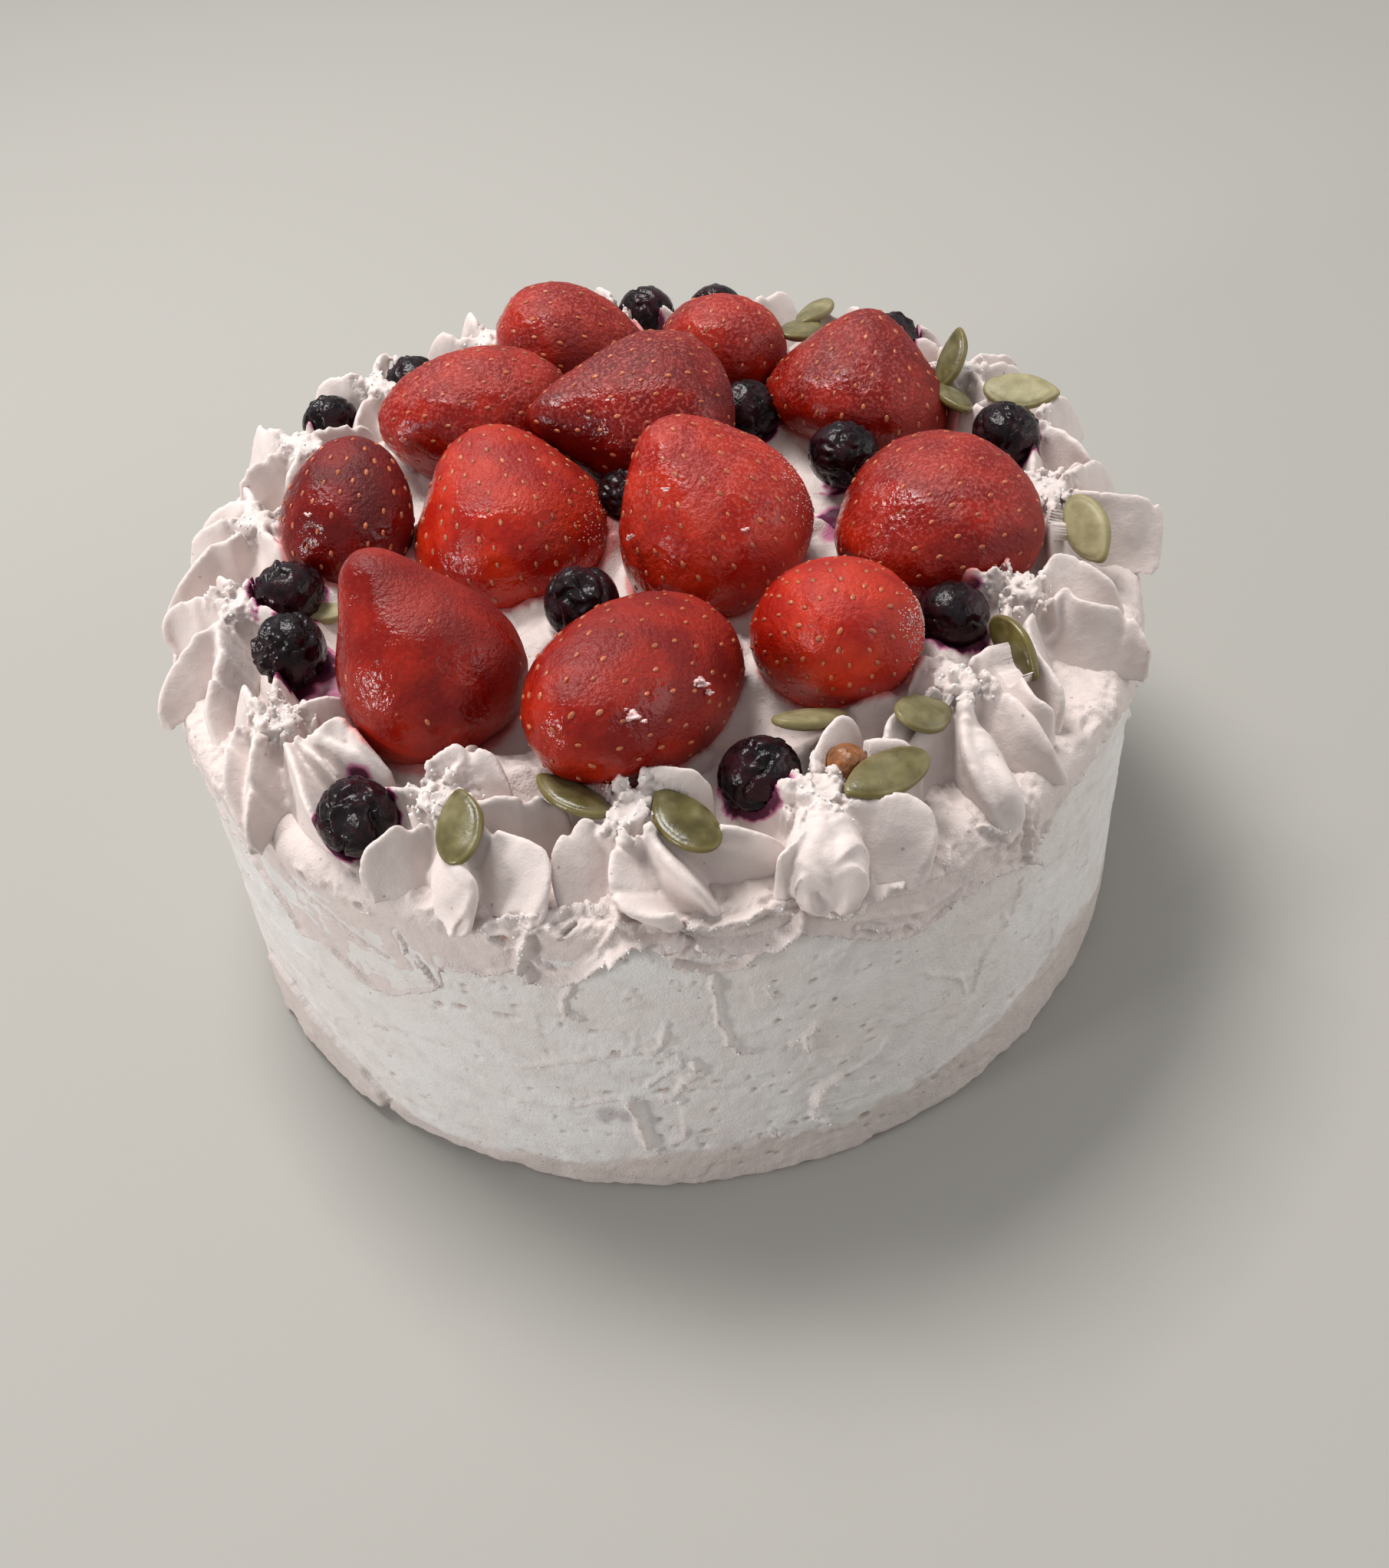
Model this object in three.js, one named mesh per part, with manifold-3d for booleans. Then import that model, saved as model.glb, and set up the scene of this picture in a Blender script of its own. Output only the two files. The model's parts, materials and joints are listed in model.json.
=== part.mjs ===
// A small round Christmas cake: a tall cake iced all over in pale berry cream, a ring of piped star
// swirls on its rim, whole frozen strawberries and blueberries inside the ring, and pumpkin seeds.
// Millimetres, +Z up. The origin is the middle of the cake's underside, and -Y is the side one looks at.
import * as THREE from "three";
import { mergeVertices } from "three/addons/utils/BufferGeometryUtils.js";
import Module from "manifold-3d";

const wasm = await Module();
wasm.setup();

// Driving dimensions
const CAKE_RADIUS = 78;
const CAKE_HEIGHT = 59.4;
const GAP = 0.3;

// The iced body: a spatula-smoothed wall under a ragged lip of cream that ends just below the rim
const BODY_SEGMENTS = 64;
const LIP_DROP = 10;
const LIP_WAVE = 2.2;
const LIP_PROUD = 0.9;
const WALL_WAVE = 0.45;
const TOP_DIP = 0.5;
const FOOT_HEIGHT = 1.6;

// The piped swirls
const PETAL_LENGTH = 16;
const PETAL_STEP = 1.2;
const SWIRL_RINGS = [0, 0.2, 0.55, 0.84, 1];
const SAMPLES_PER_PETAL = 4;
const VALLEY_SHARE = 0.6;
const CREST_POWER = 1.1;
const PETAL_DROOP = 2.1;
const PETAL_ROUND = 2.3;
const TORN_SHARE = 0.2;
const TORN_HOLLOW = 0.9;

// The berries and seeds
const STRAWBERRY_SIDES = 14;
const STRAWBERRY_RINGS = 7;
const BLUEBERRY_SIDES = 10;
const BLUEBERRY_RINGS = 5;
const CALYX_DEPTH = 0.17;
const SEED_SIDES = 10;
const SEED_RINGS = 4;
const SEED_THICKNESS = 2.6;

const MATERIALS = {
  cream: new THREE.MeshStandardMaterial({ color: 0xd3c6c3, roughness: 0.62, metalness: 0 }),
  strawberry: new THREE.MeshStandardMaterial({ color: 0xb02a22, roughness: 0.32, metalness: 0 }),
  blueberry: new THREE.MeshStandardMaterial({ color: 0x2a2026, roughness: 0.45, metalness: 0 }),
  seed: new THREE.MeshStandardMaterial({ color: 0x9aa25f, roughness: 0.38, metalness: 0 }),
  raisin: new THREE.MeshStandardMaterial({ color: 0xa8652f, roughness: 0.4, metalness: 0 }),
};

const radians = THREE.MathUtils.degToRad;

// A swirl's torn centre lies at a direction (degrees) and a distance from the cake's axis. Each petal has
// a direction and a length.
function swirl(at, out, height, petals) {
  return { at, out, height, petals };
}

// The far swirls, half hidden by the berries, follow one rule: evenly spread petals, long and short in turn
function spreadPetals(at, count, lead) {
  const petals = [];
  for (let i = 0; i < count; i++) {
    petals.push([at + lead + (360 * i) / count, i % 2 ? PETAL_LENGTH - PETAL_STEP : PETAL_LENGTH]);
  }
  return petals;
}

// In order round the rim, from the front left on against the clock
const SWIRLS = [
  swirl(-116, 66, 11, [[-144, 14.5], [-84, 15.5], [-57, 19.5], [-5, 13], [32, 15], [92, 18], [160, 14]]),
  swirl(-94, 64.5, 11, [[-134, 16], [-76, 15.5], [-45, 17.5], [-14, 18], [38, 14], [86, 14], [140, 12]]),
  swirl(-72, 67, 11, [[-142, 9], [-86, 15.5], [-40, 16.5], [-8, 16], [50, 15], [100, 15], [160, 12]]),
  swirl(-47, 61.5, 12, [[-105, 18], [-74, 19.5], [-44, 20], [-2, 15], [60, 14], [118, 14], [176, 13]]),
  swirl(-25, 60.5, 12, [[-84, 20], [-36, 21], [14, 20], [62, 15], [120, 12], [-136, 12]]),
  swirl(-1, 64, 11, [[-86, 14], [-42, 20], [4, 18], [48, 16], [110, 14], [170, 11], [-134, 11]]),
  swirl(16, 67, 9, spreadPetals(16, 6, 18)),
  swirl(33, 67, 11, [[-50, 15], [-8, 17], [36, 17], [82, 15], [140, 13], [-110, 13]]),
  swirl(51, 67, 11, spreadPetals(51, 6, -27)),
  swirl(72, 66, 11, spreadPetals(72, 6, 12)),
  swirl(93, 66, 10, spreadPetals(93, 6, -10)),
  swirl(113, 66, 11, spreadPetals(113, 6, 11)),
  swirl(133, 66, 11, spreadPetals(133, 6, -16)),
  swirl(152, 65, 11, spreadPetals(152, 6, 14)),
  swirl(172, 63, 11, [[104, 14], [150, 17], [-170, 18], [-130, 17], [-80, 14], [10, 12]]),
  swirl(-169, 64, 11, [[122, 14], [168, 16], [-142, 18], [-100, 17], [-54, 14], [30, 12]]),
  swirl(-143, 67, 10, [[150, 13], [-166, 15], [-118, 17], [-84, 17], [-42, 13], [20, 13], [84, 15]]),
];

// A berry or seed lies with its middle at x and y, that high over the cake's top. Its tip or pointed end
// looks in the direction "turn" and rises by "rise", in degrees.
function topping(x, y, over, turn, rise, form) {
  return { middle: [x, y, CAKE_HEIGHT + over], turn, rise, ...form };
}

// Length, width, how much fuller towards the cut end (taper), and how deep for its width
function berry(length, width, taper, depth = 0.92) {
  return { length, width, taper, depth };
}

const STRAWBERRIES = [
  topping(-10, 55, 9, 185, 25, berry(30, 23, -0.2)),
  topping(-27, 32, 10.5, 188, 5, berry(35, 25.5, 0.33)),
  topping(-1, 22, 14.5, 194, 13, berry(34.5, 30, 0.5)),
  topping(16, 47.5, 9, 58, 60, berry(22, 23, -0.1)),
  topping(39, 33.5, 11, 56, 68, berry(23.5, 32, 0.5)),
  topping(-47, 6, 10.5, 76, 40, berry(26, 21.5, 0.15)),
  topping(-21.5, 5, 6, 112, 53, berry(32.5, 33.5, 0.2)),
  topping(10, -6, 13.5, 135, 56, berry(32, 32, 0.3)),
  topping(44.5, -8.5, 9.5, 30, 7, berry(32, 32, -0.2, 0.74)),
  topping(-32.5, -35, 14.5, 139, 57, berry(32.5, 27.5, 0.35)),
  topping(-2.5, -43, 11.5, 236, 17, berry(41, 25.5, 0, 0.96)),
  topping(27, -35, 11.5, 271, 45, berry(29, 25, 0.1, 0.89)),
];

const BLUEBERRIES = [
  topping(-54, 41, 6.5, 120, 30, { radius: 5 }),
  topping(3, 70.5, 6, 80, 25, { radius: 5.5 }),
  topping(19, 31, 7.5, -60, 20, { radius: 5.7 }),
  topping(33.5, 13, 9.5, 60, 62, { radius: 5.9 }),
  topping(60.5, 15, 9, 30, 15, { radius: 5.8 }),
  topping(-10, -19, 8.5, -80, 66, { radius: 5.7 }),
  topping(-55, -11, 8.5, 150, 50, { radius: 5.6 }),
  topping(-53.5, -24.5, 8.5, -150, 30, { radius: 5.8 }),
  topping(44.5, -28.5, 7.5, 70, 20, { radius: 5.5 }),
  topping(13.5, -57, 6.2, 110, 10, { radius: 5.8 }),
  topping(-41, -58.5, 6.2, -100, 40, { radius: 5.5 }),
  topping(-40, 52, 6, 140, 45, { radius: 5.6 }),
  topping(46.5, 52.5, 6.5, 40, 35, { radius: 5.7 }),
  topping(16, 69, 6, 90, 30, { radius: 5.5 }),
  topping(-3, 5, 11, 0, 70, { radius: 4 }),
];
const RAISIN = topping(25.5, -58, 7.5, 20, 10, { radius: 2.9 });

// Pumpkin seeds, rolled about the line through their two ends
const SEEDS = [
  topping(-26.5, -65, 9, 90, 14, { length: 11.2, width: 7.2, roll: 24 }),
  topping(-11.5, -61, 9, 139, 2, { length: 12.2, width: 6.8, roll: -22 }),
  topping(3, -66.5, 8.2, 122, 5, { length: 12.4, width: 7.8, roll: -8 }),
  topping(21, -50.5, 9.8, 25, -18, { length: 11.6, width: 7.2, roll: 24 }),
  topping(36.5, -51, 9.4, 31, -20, { length: 9.6, width: 7, roll: -11 }),
  topping(30, -62, 9.4, 210, 2, { length: 13.2, width: 7.4, roll: 4 }),
  topping(51.5, -38.5, 9, -69, -8, { length: 12.2, width: 7.2, roll: -82 }),
  topping(68, -11.5, 8.6, -74, -21, { length: 12, width: 7.8, roll: -60 }),
  topping(65, 26, 10.4, -19, 1, { length: 12.6, width: 7.2, roll: -20 }),
  topping(54.5, 34, 12.8, 61, 38, { length: 11, width: 7, roll: 40 }),
  topping(30.5, 50.5, 11.4, 49, -11, { length: 10.5, width: 6.8, roll: -1 }),
  topping(33.5, 56.5, 11.4, -119, 5, { length: 10.5, width: 6.6, roll: -18 }),
  topping(-50, -12, 5.2, 14, -8, { length: 9, width: 6.4, roll: 16 }),
  topping(54, 27, 9.5, -79, 3, { length: 10, width: 6.4, roll: 25 }),
];

// Names are the kind and a two-digit number, counted from one
function nameAll(list, kind) {
  list.forEach((thing, i) => {
    thing.name = kind + "_" + String(i + 1).padStart(2, "0");
  });
}

nameAll(SWIRLS, "swirl");
nameAll(STRAWBERRIES, "strawberry");
nameAll(BLUEBERRIES, "blueberry");
nameAll(SEEDS, "seed");
nameAll([RAISIN], "raisin");

// The blueberries that lie partly under a strawberry, counted from one
const COVERED_BLUEBERRIES = [1, 2, 12, 13, 14, 15];

// The geometry with its shared vertices merged and each vertex moved by the function given
function reshape(geometry, move) {
  geometry.deleteAttribute("normal");
  geometry.deleteAttribute("uv");
  const merged = mergeVertices(geometry, 1e-4);
  const position = merged.getAttribute("position");
  const vertex = new THREE.Vector3();
  for (let i = 0; i < position.count; i++) {
    vertex.fromBufferAttribute(position, i);
    const moved = move(vertex);
    position.setXYZ(i, moved.x, moved.y, moved.z);
  }
  return merged;
}

function toSolid(geometry) {
  const merged = mergeVertices(geometry, 1e-4);
  const vertProperties = new Float32Array(merged.getAttribute("position").array);
  const triVerts = new Uint32Array(merged.index.array);
  return new wasm.Manifold(new wasm.Mesh({ numProp: 3, vertProperties, triVerts }));
}

function toGeometry(solid) {
  const mesh = solid.getMesh();
  const geometry = new THREE.BufferGeometry();
  geometry.setAttribute("position", new THREE.BufferAttribute(new Float32Array(mesh.vertProperties), 3));
  geometry.setIndex(new THREE.BufferAttribute(new Uint32Array(mesh.triVerts), 1));
  return geometry;
}

// Of what a cut leaves, the largest body: loose scraps are dropped
function largestBody(solid) {
  return solid.decompose().reduce((a, b) => (a.volume() > b.volume() ? a : b));
}

// The three directions of a thing that lies along "turn" and "rise": along it, across it and out of its back
function directions(turn, rise) {
  const a = radians(turn);
  const e = radians(rise);
  const along = new THREE.Vector3(Math.cos(a) * Math.cos(e), Math.sin(a) * Math.cos(e), Math.sin(e));
  const across = new THREE.Vector3(0, 0, 1).cross(along).normalize();
  const back = along.clone().cross(across);
  return { along, across, back };
}

// A point of the thing's own coordinates put in its place
function place(thing, x, y, z) {
  const { along, across, back } = directions(thing.turn, thing.rise);
  return new THREE.Vector3(...thing.middle)
    .addScaledVector(along, x)
    .addScaledVector(across, y)
    .addScaledVector(back, z);
}

// The body's radius grows and shrinks a little round the wall, as a spatula leaves it
function wallWave(angle, z) {
  const slow = Math.sin(3 * angle + 0.9 + z * 0.02) + 0.6 * Math.sin(5 * angle + 2.2 - z * 0.03);
  const quick = 0.4 * Math.sin(11 * angle + z * 0.11);
  return (WALL_WAVE * (slow + quick)) / 2;
}

// Height of the lip's ragged lower edge
function lipHeight(angle) {
  const wave = 0.6 * Math.sin(4 * angle + 0.5) + 0.4 * Math.sin(9 * angle + 1.7);
  return CAKE_HEIGHT - LIP_DROP + LIP_WAVE * wave;
}

// A lathe of the cake's profile whose rings then follow the wavy wall and the lip
function bodyGeometry() {
  const rings = [
    { radius: 0, z: () => 0, proud: 0 },
    { radius: CAKE_RADIUS - 0.8, z: () => 0, proud: 0 },
    { radius: CAKE_RADIUS + 0.1, z: () => FOOT_HEIGHT, proud: 0 },
    { radius: CAKE_RADIUS, z: () => CAKE_HEIGHT * 0.2, proud: 0 },
    { radius: CAKE_RADIUS, z: () => CAKE_HEIGHT * 0.42, proud: 0 },
    { radius: CAKE_RADIUS, z: () => CAKE_HEIGHT * 0.62, proud: 0 },
    { radius: CAKE_RADIUS, z: (a) => lipHeight(a) - 2.2, proud: -0.2 },
    { radius: CAKE_RADIUS, z: (a) => lipHeight(a), proud: 1 },
    { radius: CAKE_RADIUS, z: (a) => (lipHeight(a) + CAKE_HEIGHT) / 2, proud: 0.5 },
    { radius: CAKE_RADIUS - 0.3, z: () => CAKE_HEIGHT - 1.4, proud: 0.3 },
    { radius: CAKE_RADIUS - 2, z: () => CAKE_HEIGHT - 0.1, proud: 0 },
    { radius: CAKE_RADIUS * 0.72, z: () => CAKE_HEIGHT, proud: 0 },
    { radius: CAKE_RADIUS * 0.36, z: () => CAKE_HEIGHT - TOP_DIP, proud: 0 },
    { radius: 0, z: () => CAKE_HEIGHT - TOP_DIP, proud: 0 },
  ];
  // The lathe's profile holds each ring's number as its height, which the reshaping reads back
  const profile = rings.map((ring, i) => new THREE.Vector2(ring.radius, i));
  const lathe = new THREE.LatheGeometry(profile, BODY_SEGMENTS);
  return reshape(lathe, (v) => {
    const ring = rings[Math.round(v.y)];
    const angle = Math.atan2(v.x, v.z);
    const z = ring.z(angle);
    const wave = z > 0 && z < CAKE_HEIGHT - 0.2 ? wallWave(angle, z) : 0;
    const radius = ring.radius === 0 ? 0 : ring.radius + ring.proud * LIP_PROUD + wave;
    return new THREE.Vector3(radius * Math.sin(angle), -radius * Math.cos(angle), z);
  });
}

// How far a petal's crest reaches at a share of the swirl's height: a leaf's outline, a little undercut
function crestReach(share) {
  const leaf = Math.pow(Math.max(0, 1 - Math.pow(share, PETAL_DROOP)), 1 / PETAL_ROUND);
  const undercut = 1 - 0.1 * Math.max(0, 1 - share / 0.2);
  return TORN_SHARE + (1 - TORN_SHARE) * leaf * undercut;
}

// A swirl: a lathe with four points to a petal (crest, slope, valley, slope), pulled out along the crests
function swirlGeometry({ at, out, height, petals: given }) {
  const petals = given.map(([turn, length]) => [(turn + 720) % 360, length]).sort((p, q) => p[0] - q[0]);
  const count = petals.length;
  const profile = SWIRL_RINGS.map((share) => new THREE.Vector2(1, share));
  profile.unshift(new THREE.Vector2(0, 0));
  profile.push(new THREE.Vector2(0, 1));
  const segments = count * SAMPLES_PER_PETAL;
  const lathe = new THREE.LatheGeometry(profile, segments);
  const centre = new THREE.Vector3(
    out * Math.cos(radians(at)),
    out * Math.sin(radians(at)),
    CAKE_HEIGHT + GAP,
  );
  return reshape(lathe, (v) => {
    if (Math.hypot(v.x, v.z) < 0.5) return centre.clone().setZ(centre.z + v.y * height * TORN_HOLLOW);
    const step = (Math.atan2(v.x, v.z) / (2 * Math.PI)) * segments;
    const sample = (Math.round(step) + segments) % segments;
    const index = Math.floor(sample / SAMPLES_PER_PETAL);
    const share = (sample % SAMPLES_PER_PETAL) / SAMPLES_PER_PETAL;
    const here = petals[index];
    const next = petals[(index + 1) % count];
    const span = (next[0] - here[0] + 360) % 360;
    const angle = radians(here[0] + span * share);
    const crest = Math.pow(Math.abs(1 - 2 * share), CREST_POWER);
    const length = share < 0.5 ? here[1] : next[1];
    const valley = (VALLEY_SHARE * (here[1] + next[1])) / 2;
    const reach = crestReach(v.y);
    const radius = reach * (valley + (length - valley) * crest);
    return new THREE.Vector3(
      centre.x + radius * Math.cos(angle),
      centre.y + radius * Math.sin(angle),
      centre.z + v.y * height,
    );
  });
}

// A strawberry: an egg that is fuller at one end, flat underneath where it lies on the cream
function strawberryGeometry(red, grown = 0) {
  const fullness = (phi) => Math.sin(phi) * (1 + red.taper * Math.cos(phi));
  let widest = 0;
  for (let phi = 0; phi < Math.PI; phi += 0.02) widest = Math.max(widest, fullness(phi));
  const sphere = new THREE.SphereGeometry(1, STRAWBERRY_SIDES, STRAWBERRY_RINGS);
  return reshape(sphere, (v) => {
    const phi = Math.acos(THREE.MathUtils.clamp(v.y, -1, 1));
    const turn = Math.atan2(v.z, v.x);
    const radius = ((red.width / 2 + grown) * fullness(phi)) / widest;
    const along = -(red.length / 2 + grown) * Math.cos(phi);
    const point = place(red, along, radius * Math.cos(turn), radius * Math.sin(turn) * red.depth);
    point.z = Math.max(point.z, CAKE_HEIGHT + GAP - grown);
    return point;
  });
}

// A blueberry: a slightly flattened ball with the hollow of its calyx at one pole
function blueberryGeometry(blue, grown = 0) {
  const sphere = new THREE.SphereGeometry(1, BLUEBERRY_SIDES, BLUEBERRY_RINGS);
  return reshape(sphere, (v) => {
    const hollow = v.y > 0.99 && grown === 0 ? CALYX_DEPTH : 0;
    const radius = blue.radius + grown;
    return place(blue, radius * (v.y * 0.92 - hollow), radius * v.z, radius * v.x);
  });
}

// A pumpkin seed: a flat lens with a pointed end
function seedGeometry(seed, grown = 0) {
  const sphere = new THREE.SphereGeometry(1, SEED_SIDES, SEED_RINGS);
  return reshape(sphere, (v) => {
    const pointed = 1 - 0.28 * Math.max(0, v.x) ** 2;
    const x = v.x * (seed.length / 2 + grown);
    const y = -v.z * (seed.width / 2 + grown) * pointed;
    const z = v.y * (SEED_THICKNESS / 2 + grown);
    const roll = radians(seed.roll);
    const across = y * Math.cos(roll) + z * Math.sin(roll);
    const out = z * Math.cos(roll) - y * Math.sin(roll);
    return place(seed, x, across, out);
  });
}

function near(a, b, reach) {
  return Math.hypot(a[0] - b[0], a[1] - b[1]) < reach;
}

// Berries, seeds and the raisin, in the order in which they keep their full form: what comes later
// is cut round what came before.
const pieces = [];

function addPiece(thing, kind, size, build) {
  let solid = toSolid(build(thing));
  for (const other of pieces) {
    if (near(thing.middle, other.thing.middle, size + other.size)) {
      solid = solid.subtract(toSolid(other.build(other.thing, GAP + 0.05)));
    }
  }
  pieces.push({ thing, kind, size, build, solid: largestBody(solid) });
}

const FRONT_FIRST = (a, b) => a.middle[1] - b.middle[1];
const isCovered = (blue, i) => COVERED_BLUEBERRIES.includes(i + 1);
const covered = BLUEBERRIES.filter(isCovered);
const open = BLUEBERRIES.filter((blue, i) => !isCovered(blue, i));

for (const blue of open) addPiece(blue, "blueberry", blue.radius, blueberryGeometry);
for (const red of [...STRAWBERRIES].sort(FRONT_FIRST)) {
  addPiece(red, "strawberry", Math.max(red.length, red.width) * 0.55, strawberryGeometry);
}
for (const blue of covered) addPiece(blue, "blueberry", blue.radius, blueberryGeometry);
addPiece(RAISIN, "raisin", RAISIN.radius, blueberryGeometry);
for (const seed of SEEDS) addPiece(seed, "seed", seed.length * 0.5, seedGeometry);

function swirlCentre({ at, out }) {
  return new THREE.Vector3(out * Math.cos(radians(at)), out * Math.sin(radians(at)), 0);
}

// A swirl ends half way to each of its two neighbours, and is cut round every berry and seed on it
function swirlSolid(index) {
  const centre = swirlCentre(SWIRLS[index]);
  let solid = toSolid(swirlGeometry(SWIRLS[index]));
  for (const step of [1, SWIRLS.length - 1]) {
    const neighbour = swirlCentre(SWIRLS[(index + step) % SWIRLS.length]);
    const away = centre.clone().sub(neighbour).normalize();
    const middle = centre.clone().add(neighbour).multiplyScalar(0.5);
    solid = solid.trimByPlane([away.x, away.y, 0], middle.dot(away) + GAP / 2);
  }
  for (const other of pieces) {
    if (near([centre.x, centre.y], other.thing.middle, 21 + other.size)) {
      solid = solid.subtract(toSolid(other.build(other.thing, GAP + 0.05)));
    }
  }
  return largestBody(solid);
}

const cake = new THREE.Group();

function addMesh(name, geometry, material) {
  const mesh = new THREE.Mesh(geometry, material);
  mesh.name = name;
  cake.add(mesh);
}

addMesh("cake_body", bodyGeometry(), MATERIALS.cream);
SWIRLS.forEach((one, index) => addMesh(one.name, toGeometry(swirlSolid(index)), MATERIALS.cream));
for (const { thing, kind, solid } of pieces) addMesh(thing.name, toGeometry(solid), MATERIALS[kind]);

export default cake;
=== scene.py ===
# %% [markdown]
# A small Christmas cake, dressed in Blender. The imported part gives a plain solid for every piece: the iced
# cake, seventeen piped swirls, twelve strawberries, fifteen blueberries, pumpkin seeds and a raisin. This
# script loads those solids and makes the real surface of each one in its place: knife strokes and pits in
# the cream, torn star swirls, dimpled fruit with its achenes, wrinkled blueberries, stains of juice.
# Everything is worked out in millimetres and turned into metres when a mesh is made.

# %% The frame and what it measures
import itertools
import json
import math

import bpy
import numpy as np
from mathutils import Matrix, Vector

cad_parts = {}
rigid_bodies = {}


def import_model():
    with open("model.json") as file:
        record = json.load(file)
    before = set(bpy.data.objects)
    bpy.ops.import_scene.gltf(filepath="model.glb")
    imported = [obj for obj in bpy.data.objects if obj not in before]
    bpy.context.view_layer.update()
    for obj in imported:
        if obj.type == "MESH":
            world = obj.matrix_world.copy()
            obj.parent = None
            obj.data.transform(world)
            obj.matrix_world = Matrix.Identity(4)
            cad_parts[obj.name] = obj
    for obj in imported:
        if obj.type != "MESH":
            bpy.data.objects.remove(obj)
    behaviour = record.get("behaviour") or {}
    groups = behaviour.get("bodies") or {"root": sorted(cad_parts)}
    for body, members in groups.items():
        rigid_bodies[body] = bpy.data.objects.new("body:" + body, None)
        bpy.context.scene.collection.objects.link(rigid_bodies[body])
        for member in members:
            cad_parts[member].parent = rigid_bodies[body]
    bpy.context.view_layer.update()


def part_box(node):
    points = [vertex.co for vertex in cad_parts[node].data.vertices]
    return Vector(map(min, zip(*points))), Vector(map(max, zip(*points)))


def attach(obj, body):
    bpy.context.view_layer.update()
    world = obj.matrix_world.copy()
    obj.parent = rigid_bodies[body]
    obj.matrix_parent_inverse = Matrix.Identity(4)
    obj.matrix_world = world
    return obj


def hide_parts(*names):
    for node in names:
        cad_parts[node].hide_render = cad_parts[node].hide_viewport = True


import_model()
MM = 0.001
body_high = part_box("cake_body")[1]
CAKE_TOP = body_high[2] / MM
CAKE_RADIUS = 78.0
print("cake", round(CAKE_RADIUS * 2), "mm across,", round(CAKE_TOP, 1), "mm high")

# %% [markdown]
# Where things lie. A berry that is only seen from one side still needs its whole shape, so each one is an
# egg with a middle, a length, a width and the direction of its tip. Nearly the same numbers made the solids,
# because a dressed piece has to fill the room of its solid.

# %% Places of the toppings
STRAWBERRIES = [
    # x, y, height over the cake's top, turn, rise, length, width, taper, depth
    (-10, 55, 9, 185, 25, 30, 23, -0.2, 0.92),
    (-27, 32, 10.5, 188, 5, 34, 25, 0.12, 0.92),
    (-1, 22, 14.5, 194, 13, 34.5, 30, 0.5, 0.92),
    (16, 47.5, 9, 58, 60, 22, 23, -0.1, 0.92),
    (39, 33.5, 11, 56, 68, 23.5, 32, 0.5, 0.92),
    (-47, 6, 10.5, 76, 40, 26, 21.5, 0.15, 0.92),
    (-21.5, 5, 6, 112, 53, 32.5, 33.5, 0.2, 0.92),
    (10, -6, 13.5, 135, 56, 32, 32, 0.3, 0.92),
    (44.5, -8.5, 9.5, 30, 7, 32, 32, -0.2, 0.74),
    (-32.5, -35, 14.5, 139, 57, 32.5, 27.5, 0.35, 0.92),
    (-2.5, -43, 11.5, 236, 17, 41, 25.5, 0, 0.96),
    (27, -35, 11.5, 271, 45, 29, 25, 0.1, 0.89),
]
BLUEBERRIES = [
    # x, y, height over the cake's top, turn, rise, radius
    (-54, 41, 6.5, 120, 30, 5),
    (3, 70.5, 6, 80, 25, 5.5),
    (19, 31, 7.5, -60, 20, 5.7),
    (33.5, 13, 9.5, 60, 62, 5.9),
    (60.5, 15, 9, 30, 15, 5.8),
    (-10, -19, 8.5, -80, 66, 5.7),
    (-55, -11, 8.5, 150, 50, 5.6),
    (-53.5, -24.5, 8.5, -150, 30, 5.8),
    (44.5, -28.5, 7.5, 70, 20, 5.5),
    (13.5, -57, 6.2, 110, 10, 5.8),
    (-41, -58.5, 6.2, -100, 40, 5.5),
    (-40, 52, 6, 140, 45, 5.6),
    (46.5, 52.5, 6.5, 40, 35, 5.7),
    (16, 69, 6, 90, 30, 5.5),
    (-3, 5, 11, 0, 70, 4),
]
RAISIN = (25.3, -58, 7.6, 20, 10, 3.1)
PUMPKIN_SEEDS = [
    # x, y, height over the cake's top, turn, rise, length, width, roll
    (-26.5, -65, 9, 90, 14, 11.2, 7.2, 24),
    (-11.5, -61, 9, 139, 2, 12.2, 6.8, -22),
    (3, -66.5, 8.2, 122, 5, 12.4, 7.8, -8),
    (21, -50.5, 9.8, 25, -18, 11.6, 7.2, 24),
    (36.5, -51, 9.4, 31, -20, 9.6, 7, -11),
    (30, -62, 9.4, 210, 2, 13.2, 7.4, 4),
    (51.5, -38.5, 9, -69, -8, 12.2, 7.2, -82),
    (68, -11.5, 8.6, -74, -21, 12, 7.8, -60),
    (65, 26, 10.4, -19, 1, 12.6, 7.2, -20),
    (54.5, 34, 12.8, 61, 38, 11, 7, 40),
    (30.5, 50.5, 11.4, 49, -11, 10.5, 6.8, -1),
    (33.5, 56.5, 11.4, -119, 5, 10.5, 6.6, -18),
    (-50, -12, 5.2, 14, -8, 9, 6.4, 16),
    (54, 27, 9.5, -79, 3, 10, 6.4, 25),
]
LONG_PETAL = 16
SHORT_PETAL = 14.8
CREST_HALF = 0.42


def spread_petals(at, count, lead):
    """Evenly spread petals, long and short in turn: the rule of the far swirls."""
    return [(at + lead + 360 * i / count, SHORT_PETAL if i % 2 else LONG_PETAL) for i in range(count)]


def crest(*marks, thick=CREST_HALF):
    """A petal given by the course of its crest: direction, distance and height of some marks."""
    return {"thick": thick, "marks": marks}


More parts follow.
